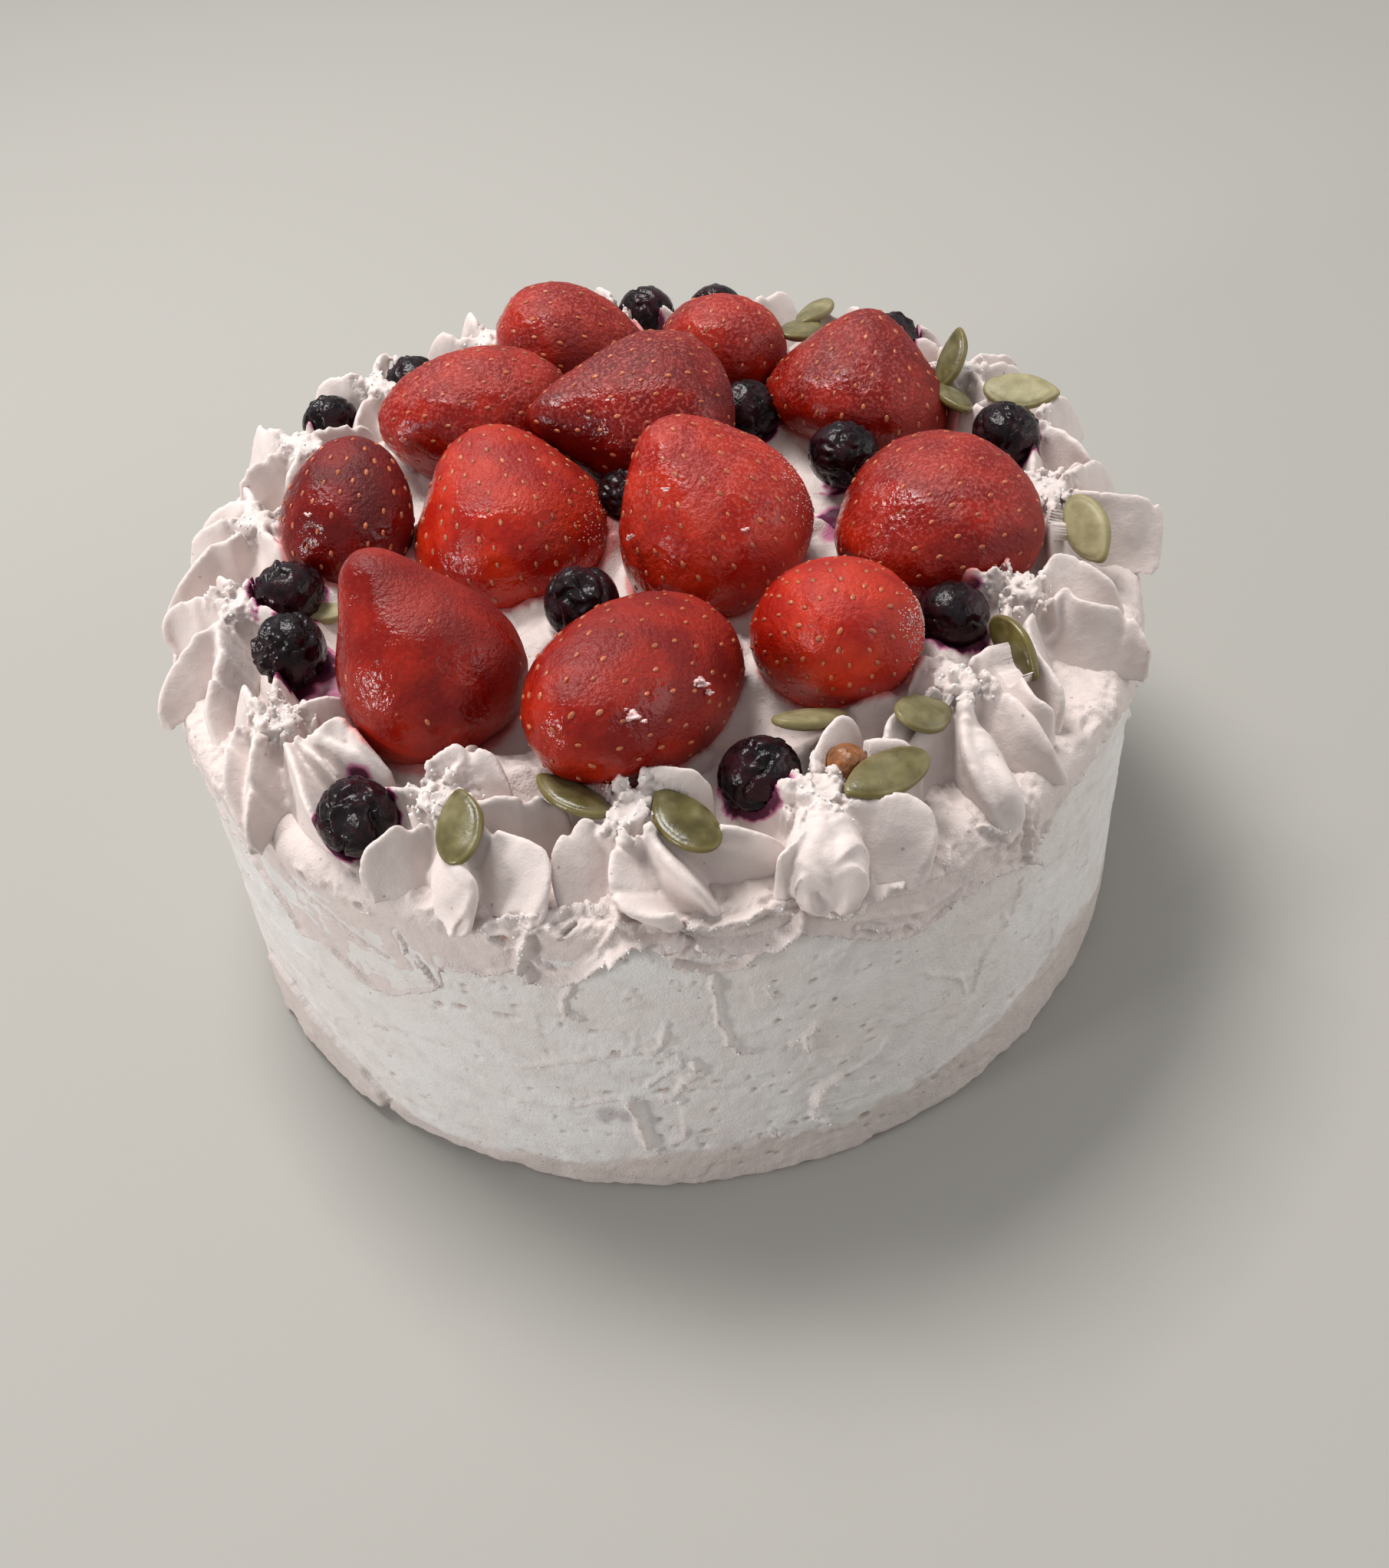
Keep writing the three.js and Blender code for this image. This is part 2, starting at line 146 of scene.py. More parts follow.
SWIRLS = [
    # direction and distance of the torn centre, height, then the petals. The ones in front follow the course
    # of their crests. Another petal has the direction and length of its foot, and may have the lean of its
    # crest in degrees, the crest's share of the length and its share of the swirl's height.
    (-116, 66, 10.4, [
        crest((-122, 3.7, 9.6), (-143, 8.1, 9.2), (-145, 12.2, 8.2), (-146, 13.8, 5), (-143, 13.7, 0)),
        crest((-82, 5.8, 9.6), (-76, 12.1, 7.6), (-71, 13.6, 6.8), (-73, 14.8, 4.8), (-78, 15.2, 1.8),
              (-86, 14.9, -1.5), thick=0.8),
        crest((-61, 4.4, 9.8), (-43, 8.8, 9.2), (-37, 12.7, 8.8), (-35, 17.1, 8), (-41, 18.9, 5.6),
              (-46, 19.4, 3), (-54, 19.2, 0)),
        crest((-40, 4, 9.8), (-9, 6.1, 9.6), (-8, 9.7, 9.3), (-3, 12.9, 9), (-4, 16.4, 6), (-5, 16.8, 1)),
        crest((150, 1.1, 9.8), (114, 5, 11.5), (76, 6.9, 13), (34, 8.5, 12.5), (10, 9.1, 8)),
        crest((-137, 2.4, 9.8), (162, 3.2, 10), (156, 7.7, 9), (142, 12.4, 5)), (62, 13, 8, 0.9, 1.1)]),
    (-94, 64.5, 10.4, [
        crest((-115, 3.1, 9.7), (-149, 3.5, 9.5), (-167, 6, 9.2), (-165, 9, 8.4), (-156, 11.4, 7),
              (-148, 12.5, 4), (-136, 13, 0)),
        crest((-93, 3.3, 9.7), (-109, 6.1, 8.4), (-108, 9.3, 6.8), (-104, 11.5, 5.2), (-94, 13.6, 4.2),
              (-81, 14.2, 3.6), (-67, 14.2, 3), thick=0.55),
        crest((-56, 4.1, 9.7), (-59, 7.5, 8.6), (-58, 10.8, 7.4), (-55, 13.8, 5.6), (-52, 15.2, 3.2),
              (-45, 15.8, 0.5), thick=0.5),
        crest((-34, 4.3, 9.7), (-21, 9, 9.3), (-16, 14.2, 8.6), (-16, 19.2, 7.5), (-15, 21.2, 5.5),
              (-15, 20.2, 1)),
        crest((60, 2.7, 9.8), (66, 5, 12), (41, 6.7, 12.5), (21, 10.2, 12), (18, 12.2, 8)),
        (100, 13, 0, 0.9, 1.1), (140, 11)]),
    (-72, 67, 10.4, [
        crest((-75, 3, 9.6), (-86, 8.4, 9), (-88, 11, 7.6), (-91, 12.4, 4.2), (-92, 12.2, -1.6), thick=3.0),
        crest((-76, 3, 9.6), (-94, 7, 9.4), (-105, 9.2, 8.8), (-106, 11.6, 7), (-102, 12.8, 4),
              (-94, 12.4, -1), thick=2.7),
        crest((-72, 4, 9.6), (-69, 8.4, 9.4), (-71, 11.2, 8.2), (-76, 12.8, 6.2), (-81, 13.2, 3),
              (-85, 12.6, -1), thick=2.7),
        crest((-91, 4, 9.6), (-113, 9, 9), (-121, 12.2, 8.4), (-120, 12.6, 5.5)),
        crest((-40, 2, 9.7), (-31, 5.1, 9.6), (-14, 8.6, 9.6), (-10, 12.4, 9.2), (-15, 15.2, 7.6),
              (-22, 16.3, 5), (-29, 16, 1.8), (-35, 14.6, -1.5), thick=0.5),
        crest((47, 2, 9.8), (55, 6.7, 10.5), (45, 10.8, 10.5), (31, 14.7, 10), (20, 15.8, 6)),
        crest((93, 3, 9.8), (90, 6.5, 10), (80, 9.5, 10.8), (70, 12.6, 11.6), (62, 13.4, 10.4),
              (57, 13.6, 7)),
        (-128, 11, 10, 0.85, 0.9), (134, 14, 8, 0.95, 1.0), (170, 12)]),
    (-47, 61.5, 11, [
        crest((-70, 2.9, 10.4), (-91, 7.4, 9.6), (-94, 11.8, 8.6), (-90, 15.6, 6.4), (-84, 18.4, 3),
              (-76, 20.2, -3), thick=0.7),
        crest((-85, 6, 9), (-81, 12, 7.4), (-75, 17, 6), (-73, 18.6, 4.4), (-75, 19.4, 1.8),
              (-76, 19.6, -2.5), thick=1.6),
        crest((5, 3, 10.4), (-10, 5.2, 10.2), (-29, 8.5, 9.6), (-38, 12.3, 8), (-42, 15.8, 4.8),
              (-37, 18, -1)),
        crest((57, 4.4, 10.4), (52, 7, 10.8), (37, 9.5, 10.4), (2, 9.3, 9.4), (-21, 11.1, 8.6),
              (-20, 13.8, 7.6), (-23, 14.3, 1)),
        crest((79, 1.8, 10.4), (105, 4.5, 10.6), (131, 6.6, 10.4), (169, 6.6, 6)),
        crest((-150, 3, 10.4), (-148, 8, 10.6), (-145, 12.6, 10.4), (-138, 14.8, 10), (-136, 17.4, 9.4),
              (-135, 19, 7)),
        (-112, 15, -18, 0.8, 0.95)]),
    (-25, 60.5, 11, [
        crest((-84, 6.8, 10.4), (-97, 8.7, 10.2), (-94, 13, 9.6), (-88, 17.2, 8.8), (-84, 20.3, 7.4),
              (-84, 21.9, 4.6), (-88, 22.5, 0.5)),
        crest((-59, 6, 10.4), (-14, 6.5, 11), (-35, 8.8, 10.6), (-30, 12, 10), (-24, 14.8, 9.4),
              (-28, 18, 7.6), (-32, 20.5, 4), (-31, 20.2, -0.5)),
        crest((-8, 2.1, 10.6), (43, 7, 11.2), (33, 10, 11), (14, 11.9, 10), (4, 14.3, 8.4), (0, 16.3, 3)),
        (112, 12, 0, 0.9, 1.15), (160, 12, 0, 0.9, 1.2), (-136, 13)]),
    (-1, 64, 10.6, [(-86, 14, -14, 0.82, 1), (-43, 19, 28, 0.93, 1.05), (16, 15.5, 20, 0.82, 1.08),
                    (70, 14), (118, 13), (165, 11), (-134, 12)]),
    (16, 67, 9, spread_petals(16, 6, 18)),
    (33, 67, 10.4, [(-50, 15), (-8, 14.5), (36, 14), (82, 15), (140, 13), (-110, 13)]),
    (51, 67, 10.4, spread_petals(51, 6, -27)),
    (72, 66, 10.4, spread_petals(72, 6, 12)),
    (93, 66, 9.6, spread_petals(93, 6, -10)),
    (113, 66, 10.4, spread_petals(113, 6, 11)),
    (133, 66, 10.4, spread_petals(133, 6, -16)),
    (152, 65, 10.4, [(-140, 14, -5, 0.9, 1), (-88, 14), (-30, 14), (40, 14), (98, 15), (158, 14.5)]),
    (172, 63, 10.6, [
        crest((103, 1.9, 10.2), (118, 5.1, 10), (131, 7.7, 9.6), (145, 9.2, 8.6), (155, 11.1, 6.4),
              (157, 12.4, 4), (155, 13.2, 0.5)),
        crest((-113, 4.2, 10.2), (-118, 6.9, 10), (-138, 8.5, 9.4), (-137, 12.5, 8), (-139, 16.3, 5),
              (-148, 18.6, 0)),
        (100, 14, 10, 0.9, 1), (-160, 13), (-76, 14), (-20, 12), (40, 12)]),
    (-169, 64, 10.6, [
        crest((160, 1.7, 10), (160, 5.4, 9.6), (166, 8.7, 8.8), (170, 11.5, 7.4), (177, 12.9, 5),
              (-178, 12.6, 2.5), (176, 11.6, 0)),
        crest((-107, 5.3, 9.8), (-127, 8.1, 9), (-130, 11, 7.6), (-132, 14.5, 5.6), (-130, 17.6, 3.4),
              (-127, 19.4, 1.4), (-125, 19.6, -1)),
        crest((-118, 3.7, 9.8), (-104, 7.6, 9.4), (-94, 11.9, 8.8), (-97, 15.3, 7.8), (-100, 19.3, 5),
              (-98, 21.5, 2.6), (-93, 24.7, -1), thick=0.55),
        (-40, 14, 0, 0.9, 1.1), (30, 12), (110, 12)]),
    (-143, 67, 10.2, [
        crest((-123, 3.6, 9.6), (-107, 8.9, 9), (-103, 12.2, 7), (-103, 15.4, 4.4), (-106, 16.2, 1),
              (-103, 16, -1.5)),
        crest((-68, 5, 9.8), (-70, 12.8, 9), (-71, 16.6, 8), (-70, 20.3, 6.8), (-69, 23, 5), (-66, 24.4, 3),
              (-61, 24.2, 0.5)),
        crest((-170, 3.9, 9.8), (-176, 6, 9.4), (-154, 7.5, 8.6), (-139, 9.2, 7.6), (-132, 11, 5.6),
              (-129, 11.7, 3), (-116, 12.8, 0)),
        crest((-52, 5.6, 9.8), (-52, 8.4, 9.4), (-51, 11.6, 8.8), (-50, 14.8, 6)),
        crest((-44, 6.6, 9.8), (-35, 9.5, 10), (-36, 14.4, 9.6), (-34, 19.9, 6)),
        crest((-35, 7, 9.8), (-30, 8.8, 11), (-22, 10.3, 12), (-23, 12.2, 12), (-31, 15.6, 11),
              (-33, 20.1, 7)),
        (150, 12), (96, 14, 0, 0.9, 1), (40, 13)]),
]
print(len(STRAWBERRIES), "strawberries,", len(BLUEBERRIES), "blueberries,", len(SWIRLS), "swirls")

# %% [markdown]
# The camera looks down on the cake at about 44 degrees from close by, so the front of the ring looks larger
# than the back. A short distance and a slight roll make that picture, and both came from fitting the
# circles of the cake's top and base. The lens is given for the long side of the frame.

# %% Camera
CAMERA_AT = Vector((4.6, -219.9, 223.9)) * MM
CAMERA_PITCH = math.radians(44.29)
CAMERA_ROLL = math.radians(-4.836)
LENS = 38.59


def aim_camera():
    """Puts the camera in its place, turned by its pitch and its roll."""
    forward = Vector((0, math.cos(CAMERA_PITCH), -math.sin(CAMERA_PITCH)))
    level = Vector((1, 0, 0))
    above = level.cross(forward)
    right = level * math.cos(CAMERA_ROLL) + above * math.sin(CAMERA_ROLL)
    up = above * math.cos(CAMERA_ROLL) - level * math.sin(CAMERA_ROLL)
    turn = Matrix((right, up, -forward)).transposed()
    data = bpy.data.cameras.new("camera")
    data.lens = LENS
    data.sensor_width = 36
    data.clip_start = 0.01
    camera = bpy.data.objects.new("camera", data)
    camera.matrix_world = Matrix.Translation(CAMERA_AT) @ turn.to_4x4()
    bpy.context.scene.collection.objects.link(camera)
    bpy.context.scene.camera = camera


aim_camera()
print("camera", [round(v, 3) for v in CAMERA_AT])

# %% [markdown]
# Cream shows its shape by soft shadow, so a skylight behind and above gives the form and a bright even world
# fills the shadows. A tall narrow window, low on the left, is there for the wet fruit: its reflection is what
# glints on the left side of every strawberry. A large pale wall on the right gives back some light. The floor
# is plain and pale. The Standard view keeps the reds as saturated as they are on a plain photograph.

# %% Floor and light
FLOOR_SIZE = 3.0
SKY_COLOUR = (0.95, 0.975, 1.0)
SKY_STRENGTH = 0.45
LIGHTS = [
    # name, place and the spot that it faces, width and height in metres, watts, colour
    ("skylight", (-0.22, 0.26, 0.79), (0, 0, 0.05), 0.34, 0.34, 8.4, (1.0, 0.99, 0.97)),
    ("side window", (-0.71, -0.40, 0.19), (0, 0, 0.06), 0.13, 0.30, 3.3, (1.0, 0.99, 0.98)),
    ("pale wall", (0.85, -0.15, 0.22), (0, 0, 0.03), 0.9, 0.9, 4.0, (1.0, 1.0, 0.96)),
]


def add_light(name, place, aim, wide, tall, power, colour):
    """A rectangular light that faces a spot."""
    data = bpy.data.lights.new(name, "AREA")
    data.shape = "RECTANGLE"
    data.energy = power
    data.color = colour
    data.size = wide
    data.size_y = tall
    light = bpy.data.objects.new(name, data)
    light.location = place
    light.rotation_euler = (Vector(aim) - Vector(place)).to_track_quat("-Z", "Y").to_euler()
    bpy.context.scene.collection.objects.link(light)


def make_world(colour, strength):
    """The same light from all sides."""
    world = bpy.data.worlds.new("soft sky")
    world.use_nodes = True
    background = world.node_tree.nodes["Background"]
    background.inputs["Color"].default_value = (*colour, 1)
    background.inputs["Strength"].default_value = strength
    bpy.context.scene.world = world


make_world(SKY_COLOUR, SKY_STRENGTH)
for light in LIGHTS:
    add_light(*light)
bpy.context.scene.view_settings.view_transform = "Standard"
print(len(LIGHTS), "lights and a soft sky")

# %% [markdown]
# Noise drives every uneven surface here. Value noise is a random number on each corner of a grid, blended
# smoothly in between. Adding finer and finer copies gives the rough look of cream and fruit. Cell noise
# gives the distance to scattered points and so makes grains and pits. Both are plain array sums, so the
# same seed gives the same cake each time.

# %% Noise on arrays of points
GRID_FACTORS = [np.uint32(factor) for factor in (0x8DA6B343, 0xD8163841, 0xCB1AB31F)]
STIRS = [(np.uint32(15), np.uint32(0x2C1B3C6D)), (np.uint32(12), np.uint32(0x297A2D39))]
LARGEST = 2.0 ** 32 - 1
FAR_CORNER = 1000.0


def corner_random(cell, seed):
    """A fixed random number from 0 to 1 for each grid corner, stirred up from its three numbers."""
    h = np.uint32(seed * 7919 + 17)
    for axis, factor in enumerate(GRID_FACTORS):
        h = h ^ (cell[..., axis].astype(np.uint32) * factor)
    for shift, factor in STIRS:
        h ^= h >> shift
        h *= factor
    h ^= h >> STIRS[0][0]
    return h.astype(np.float64) / LARGEST


def grid_cells(points, size):
    """The points in cell sizes, moved to where all numbers are positive, and the cells they lie in."""
    p = np.asarray(points, float) / size + FAR_CORNER
    return p, np.floor(p).astype(np.int64)


def noise(points, size, seed=0):
    """Smooth noise from -1 to 1 with bumps of about the given size."""
    p, cell = grid_cells(points, size)
    f = p - cell
    f = f * f * (3 - 2 * f)
    total = np.zeros(p.shape[:-1])
    for dz, dy, dx in itertools.product((0, 1), repeat=3):
        weight = 1.0
        for axis, step in enumerate((dx, dy, dz)):
            weight = weight * (f[..., axis] if step else 1 - f[..., axis])
        total += weight * corner_random(cell + np.array([dx, dy, dz]), seed)
    return total * 2 - 1


def rough(points, size, seed=0, layers=4):
    """Noise with finer layers added, each half the size and height of the last."""
    total = np.zeros(np.asarray(points).shape[:-1])
    for layer in range(layers):
        total += noise(points, size / 2 ** layer, seed + layer * 31) / 2 ** layer
    return total / 1.6


def grains(points, size, seed=0):
    """Distance to the nearest scattered point, in cell sizes."""
    p, cell = grid_cells(points, size)
    best = np.full(p.shape[:-1], np.inf)
    for step in itertools.product((-1, 0, 1), repeat=3):
        near = cell + np.array(step)
        total = 0
        for axis in range(3):
            total = total + (near[..., axis] + corner_random(near, seed + axis) - p[..., axis]) ** 2
        best = np.minimum(best, total)
    return np.sqrt(best)


def ease(x, low, high):
    """0 below low, 1 above high and a smooth step between them."""
    t = np.clip((np.asarray(x, float) - low) / (high - low), 0, 1)
    return t * t * (3 - 2 * t)


def hump(x, width):
    """A round bump: 1 where x is 0, and nearly gone at twice the width."""
    return np.exp(-((x / width) ** 2))


print("noise", np.round(noise(np.array([[1.0, 2.0, 3.0], [4.0, 5.0, 6.0]]), 2.0), 3))

# %% [markdown]
# Most pieces are shells: rows of points that close round, with the first and last row drawn together to a
# pole. One helper turns such a grid into a mesh. A second one finishes a piece: it rides on the body and it
# stands for its solid, which it hides.

# %% Mesh helpers
def ring_points(radius, angle, z):
    """Points at a distance from the axis, a direction and a height."""
    return np.stack(np.broadcast_arrays(radius * np.cos(angle), radius * np.sin(angle), z), -1)


def ball_angles(rows, columns):
    """Angles of a ball's grid: from pole to pole down the rows, and once round along the columns."""
    phi = np.linspace(0, math.pi, rows)[:, None]
    return phi, np.linspace(0, 2 * math.pi, columns, endpoint=False)[None, :]


def shell_faces(rows, columns):
    """Quads between the rows, which close round. Poles are handled by the caller."""
    r = np.arange(rows - 1)[:, None]
    c = np.arange(columns)[None, :]
    a = r * columns + c
    b = r * columns + (c + 1) % columns
    return np.stack([a, b, b + columns, a + columns], -1).reshape(-1, 4)


def mesh_of(name, points, faces):
    """A mesh from points in millimetres."""
    mesh = bpy.data.meshes.new(name)
    mesh.from_pydata((np.asarray(points) * MM).tolist(), [], [list(f) for f in faces])
    mesh.update()
    return mesh


def shell(name, grid):
    """A closed mesh from a grid of rows. Its first and last rows each shrink to one point."""
    rows, columns = grid.shape[:2]
    points = np.concatenate([grid[1:-1].reshape(-1, 3), [grid[0].mean(0), grid[-1].mean(0)]])
    faces = shell_faces(rows - 2, columns).tolist()
    pole = (rows - 2) * columns
    last_row = pole - columns
    for c in range(columns):
        n = (c + 1) % columns
        faces.append([pole, n, c])
        faces.append([pole + 1, last_row + c, last_row + n])
    return mesh_of(name, points, faces)


def smooth(mesh):
    mesh.polygons.foreach_set("use_smooth", [True] * len(mesh.polygons))


def add_object(name, mesh):
    """A new smooth object in the scene."""
    thing = bpy.data.objects.new(name, mesh)
    bpy.context.scene.collection.objects.link(thing)
    smooth(mesh)
    return thing


def points_of(mesh):
    """The mesh's points in millimetres."""
    flat = np.empty(len(mesh.vertices) * 3, np.float32)
    mesh.vertices.foreach_get("co", flat)
    return flat.reshape(-1, 3).astype(float) / MM


def normals_of(mesh):
    flat = np.empty(len(mesh.vertices) * 3, np.float32)
    mesh.vertex_normals.foreach_get("vector", flat)
    return flat.reshape(-1, 3).astype(float)


def closed_piece(name, grid, middle):
    """An object from a grid, with its faces turned away from its middle, then its points and normals."""
    mesh = shell(name, grid)
    thing = add_object(name, mesh)
    points, normals = points_of(mesh), normals_of(mesh)
    if (normals * (points - middle)).sum() < 0:
        mesh.flip_normals()
        normals = -normals
    return thing, points, normals


def set_points(mesh, points):
    mesh.vertices.foreach_set("co", (points * MM).astype(np.float32).ravel())
    mesh.update()


def set_masks(mesh, masks):
    """Numbers on each point, which a material or a node tree reads by their names."""
    for name, values in masks.items():
        layer = mesh.attributes.new(name, "FLOAT", "POINT")
        layer.data.foreach_set("value", np.asarray(values, np.float32))


def merged(name, meshes):
    """One mesh with the points and faces of several."""
    points, faces, count = [], [], 0
    for mesh in meshes:
        part = points_of(mesh)
        points.append(part)
        faces += [[v + count for v in p.vertices] for p in mesh.polygons]
        count += len(part)
    return mesh_of(name, np.concatenate(points), faces)


def baked(thing):
    """The object's mesh with its modifiers applied, and the modifiers gone."""
    graph = bpy.context.evaluated_depsgraph_get()
    mesh = bpy.data.meshes.new_from_object(thing.evaluated_get(graph), depsgraph=graph)
    thing.modifiers.clear()
    thing.data = mesh
    return mesh


def finish_piece(thing, slot, *nodes):
    """The piece rides on the cake and stands for its solids, which it hides. Its slot is not used."""
    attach(thing, "root")
    if nodes:
        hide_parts(*nodes)


def face_count(things):
    return sum(len(thing.data.polygons) for thing in things)


floor_corners = np.array([[-1, -1, 0], [1, -1, 0], [1, 1, 0], [-1, 1, 0]]) * FLOOR_SIZE / MM / 2
floor_mesh = mesh_of("floor", floor_corners, [[0, 1, 2, 3]])
floor = add_object("floor", floor_mesh)
print("floor", FLOOR_SIZE, "m")

# %% [markdown]
# A thing that lies along a direction has three axes of its own: along it, across it and out of its back.
# Berries and seeds are made in those axes and turned into place, so the object itself stays unturned at
# the origin and patterns on its coordinates stay still.

# %% Axes of a lying thing
def axes_of(turn, rise):
    """Directions along a thing, across it and out of its back. Angles in degrees."""
    a, e = math.radians(turn), math.radians(rise)
    along = np.array([math.cos(a) * math.cos(e), math.sin(a) * math.cos(e), math.sin(e)])
    across = np.cross([0, 0, 1.0], along)
    across /= np.linalg.norm(across)
    return along, across, np.cross(along, across)


def placed(middle, axes, local):
    """Local points (along, across, back) put in their place."""
    return np.asarray(middle) + local @ np.array(axes)


def middle_of(thing):
    return np.array([thing[0], thing[1], CAKE_TOP + thing[2]], float)


def berry_share(points, berry):
    """Below 1 inside a strawberry's egg, 1 on its skin and above 1 outside."""
    along, across, back = axes_of(berry[3], berry[4])
    d = points - middle_of(berry)
    length, width, taper, depth = berry[5:9]
    u = np.clip(d @ along / (length / 2), -1, 1)
    swell = 1 + taper * -u
    side = (d @ across / (width / 2)) ** 2 + (d @ back / (width / 2 * depth)) ** 2
    return np.sqrt((d @ along / (length / 2)) ** 2 + side / swell ** 2)


print("first berry's middle", middle_of(STRAWBERRIES[0]))

# %% [markdown]
# Materials. Cream is a pale scattering paste: light goes a little way in and comes out again, so its
# shadows are soft and warm. Two effects are used by several materials and are built once as node groups:
# speckle, which scatters tiny dark dots, and fine grain, which gives a height for bump. A group puts out
# only masks and heights, and the shader stays in the material.

# %% Shader helpers and shared groups
# The Mix node's sockets for colours, by number, because several have the same name
MIX_MASK, MIX_UNDER, MIX_OVER, MIX_RESULT = 0, 6, 7, 2


def fill(tree, node, values):
    """Sets a node's inputs. Where a value is another node's socket, it is joined to the input."""
    for key, value in values.items():
        if isinstance(value, bpy.types.NodeSocket):
            tree.links.new(value, node.inputs[key])
        else:
            node.inputs[key].default_value = value


def new_node(tree, kind, inputs=None, **settings):
    """A node with its settings and inputs filled in."""
    node = tree.nodes.new(kind)
    for key, value in settings.items():
        setattr(node, key, value)
    fill(tree, node, inputs or {})
    return node


def math_node(tree, operation, a, b):
    return new_node(tree, "ShaderNodeMath", {0: a, 1: b}, operation=operation).outputs[0]


def span(tree, value, low, high, to_low=0.0, to_high=1.0):
    """The value stretched from low..high to to_low..to_high, smoothly and clamped."""
    inputs = {"Value": value, "From Min": low, "From Max": high, "To Min": to_low, "To Max": to_high}
    return new_node(tree, "ShaderNodeMapRange", inputs, interpolation_type="SMOOTHSTEP").outputs["Result"]


def blend(tree, mask, under, over):
    """One colour over another by a mask. Colours are sockets or plain tuples."""
    under, over = [(*c, 1) if isinstance(c, tuple) else c for c in (under, over)]
    inputs = {MIX_MASK: mask, MIX_UNDER: under, MIX_OVER: over}
    return new_node(tree, "ShaderNodeMix", inputs, data_type="RGBA").outputs[MIX_RESULT]


def clouds(tree, where, scale, detail=2):
    """Soft noise from 0 to 1, with about so many bumps to the metre."""
    inputs = {"Vector": where, "Scale": scale, "Detail": detail}
    return new_node(tree, "ShaderNodeTexNoise", inputs).outputs["Fac"]


def object_coordinates(tree):
    return new_node(tree, "ShaderNodeTexCoord").outputs["Object"]


def mask_of(tree, name):
    return new_node(tree, "ShaderNodeAttribute", attribute_name=name).outputs["Fac"]


def new_group(kind, name, inputs, outputs):
    """A node group with named inputs and outputs: the tree, what it is given and its last node."""
    tree = bpy.data.node_groups.new(name, kind)
    for label, socket_kind, value in inputs:
        socket = tree.interface.new_socket(name=label, in_out="INPUT", socket_type="NodeSocket" + socket_kind)
        if value is not None:
            socket.default_value = value
    for label, socket_kind in outputs:
        tree.interface.new_socket(name=label, in_out="OUTPUT", socket_type="NodeSocket" + socket_kind)
    return tree, tree.nodes.new("NodeGroupInput").outputs, tree.nodes.new("NodeGroupOutput")


def speckle_group():
    """Tiny round dots: the mask is 1 in a dot. Only a share of the cells holds one."""
    inputs = [("Vector", "Vector", None), ("Scale", "Float", 600.0)]
    inputs += [("Size", "Float", 0.12), ("Share", "Float", 0.3)]
    tree, given, end = new_group("ShaderNodeTree", "speckle", inputs, [("Mask", "Float")])
    cells = new_node(tree, "ShaderNodeTexVoronoi", {"Vector": given["Vector"], "Scale": given["Scale"]})
    parts = new_node(tree, "ShaderNodeSeparateColor", {0: cells.outputs["Color"]})
    chosen = math_node(tree, "LESS_THAN", parts.outputs[0], given["Share"])
    close = math_node(tree, "LESS_THAN", cells.outputs["Distance"], given["Size"])
    fill(tree, end, {"Mask": math_node(tree, "MULTIPLY", chosen, close)})
    return tree


def grain_group():
    """Two sizes of noise mixed into one height for a Bump node."""
    inputs = [("Vector", "Vector", None), ("Coarse", "Float", 300.0)]
    inputs += [("Fine", "Float", 1500.0), ("Fine share", "Float", 0.4)]
    tree, given, end = new_group("ShaderNodeTree", "fine grain", inputs, [("Height", "Float")])
    coarse, fine = [clouds(tree, given["Vector"], given[label], 3) for label in ("Coarse", "Fine")]
    fine = math_node(tree, "MULTIPLY", fine, given["Fine share"])
    fill(tree, end, {"Height": math_node(tree, "ADD", coarse, fine)})
    return tree


SPECKLE = speckle_group()
GRAIN = grain_group()


def use_group(tree, group, where, **values):
    """A shared group's result. Underscores stand for spaces."""
    inputs = {label.replace("_", " "): value for label, value in values.items()}
    return new_node(tree, "ShaderNodeGroup", {"Vector": where, **inputs}, node_tree=group).outputs[0]


def new_material(name):
    """A material, its node tree and its shader."""
    material = bpy.data.materials.new(name)
    material.use_nodes = True
    return material, material.node_tree, material.node_tree.nodes["Principled BSDF"]


def bump(tree, height, strength, distance, **under):
    """The normals of a bumpy surface. Coarser bumps that lie under it are given as Normal."""
    inputs = {"Height": height, "Strength": strength, "Distance": distance, **under}
    return new_node(tree, "ShaderNodeBump", inputs).outputs["Normal"]


print("groups", SPECKLE.name, "and", GRAIN.name)

# %% [markdown]
# The cream's own colour is a pale pinkish grey, tinted by berries whipped into it, with rare dark specks
# of skin. The wall was smoothed with a knife and looks greyer than the piped cream, but its upper lip and
# its foot are pinker. Masks stored on the mesh say how pink a point is, where juice has run (one dark spot
# of it is juice and painted shade together), where a pit shows the crumb, where the smear and the foot are,
# where ridges take the torn cream's colour, which on the pink lip is a painted highlight, and where painted
# shade lies on the front of the lip's upper edge.

# %% Cream materials
CREAM = (0.665, 0.575, 0.545)
CREAM_WALL = (0.690, 0.668, 0.650)
CREAM_PINK = (0.620, 0.530, 0.500)
CREAM_TORN = (0.650, 0.570, 0.540)
# Darker foot cream, also used as painted shade on the front of the lip's upper edge
CREAM_FOOT_AND_SHADE = (0.480, 0.400, 0.365)
CRUMB_BROWN = (0.30, 0.155, 0.075)
# The deep colour of blueberry juice, which under the fourth blueberry also paints its shade
BLUE_JUICE_AND_SHADE = (0.085, 0.008, 0.035)
BLUE_JUICE_THIN = (0.50, 0.16, 0.28)
RED_JUICE = (0.50, 0.10, 0.09)
CREAM_SHADE = (0.50, 0.44, 0.42)
CREAM_SMEAR = (0.33, 0.29, 0.31)
BERRY_SPECK = (0.22, 0.13, 0.13)
FLOOR_GREY = (0.345, 0.33, 0.305)


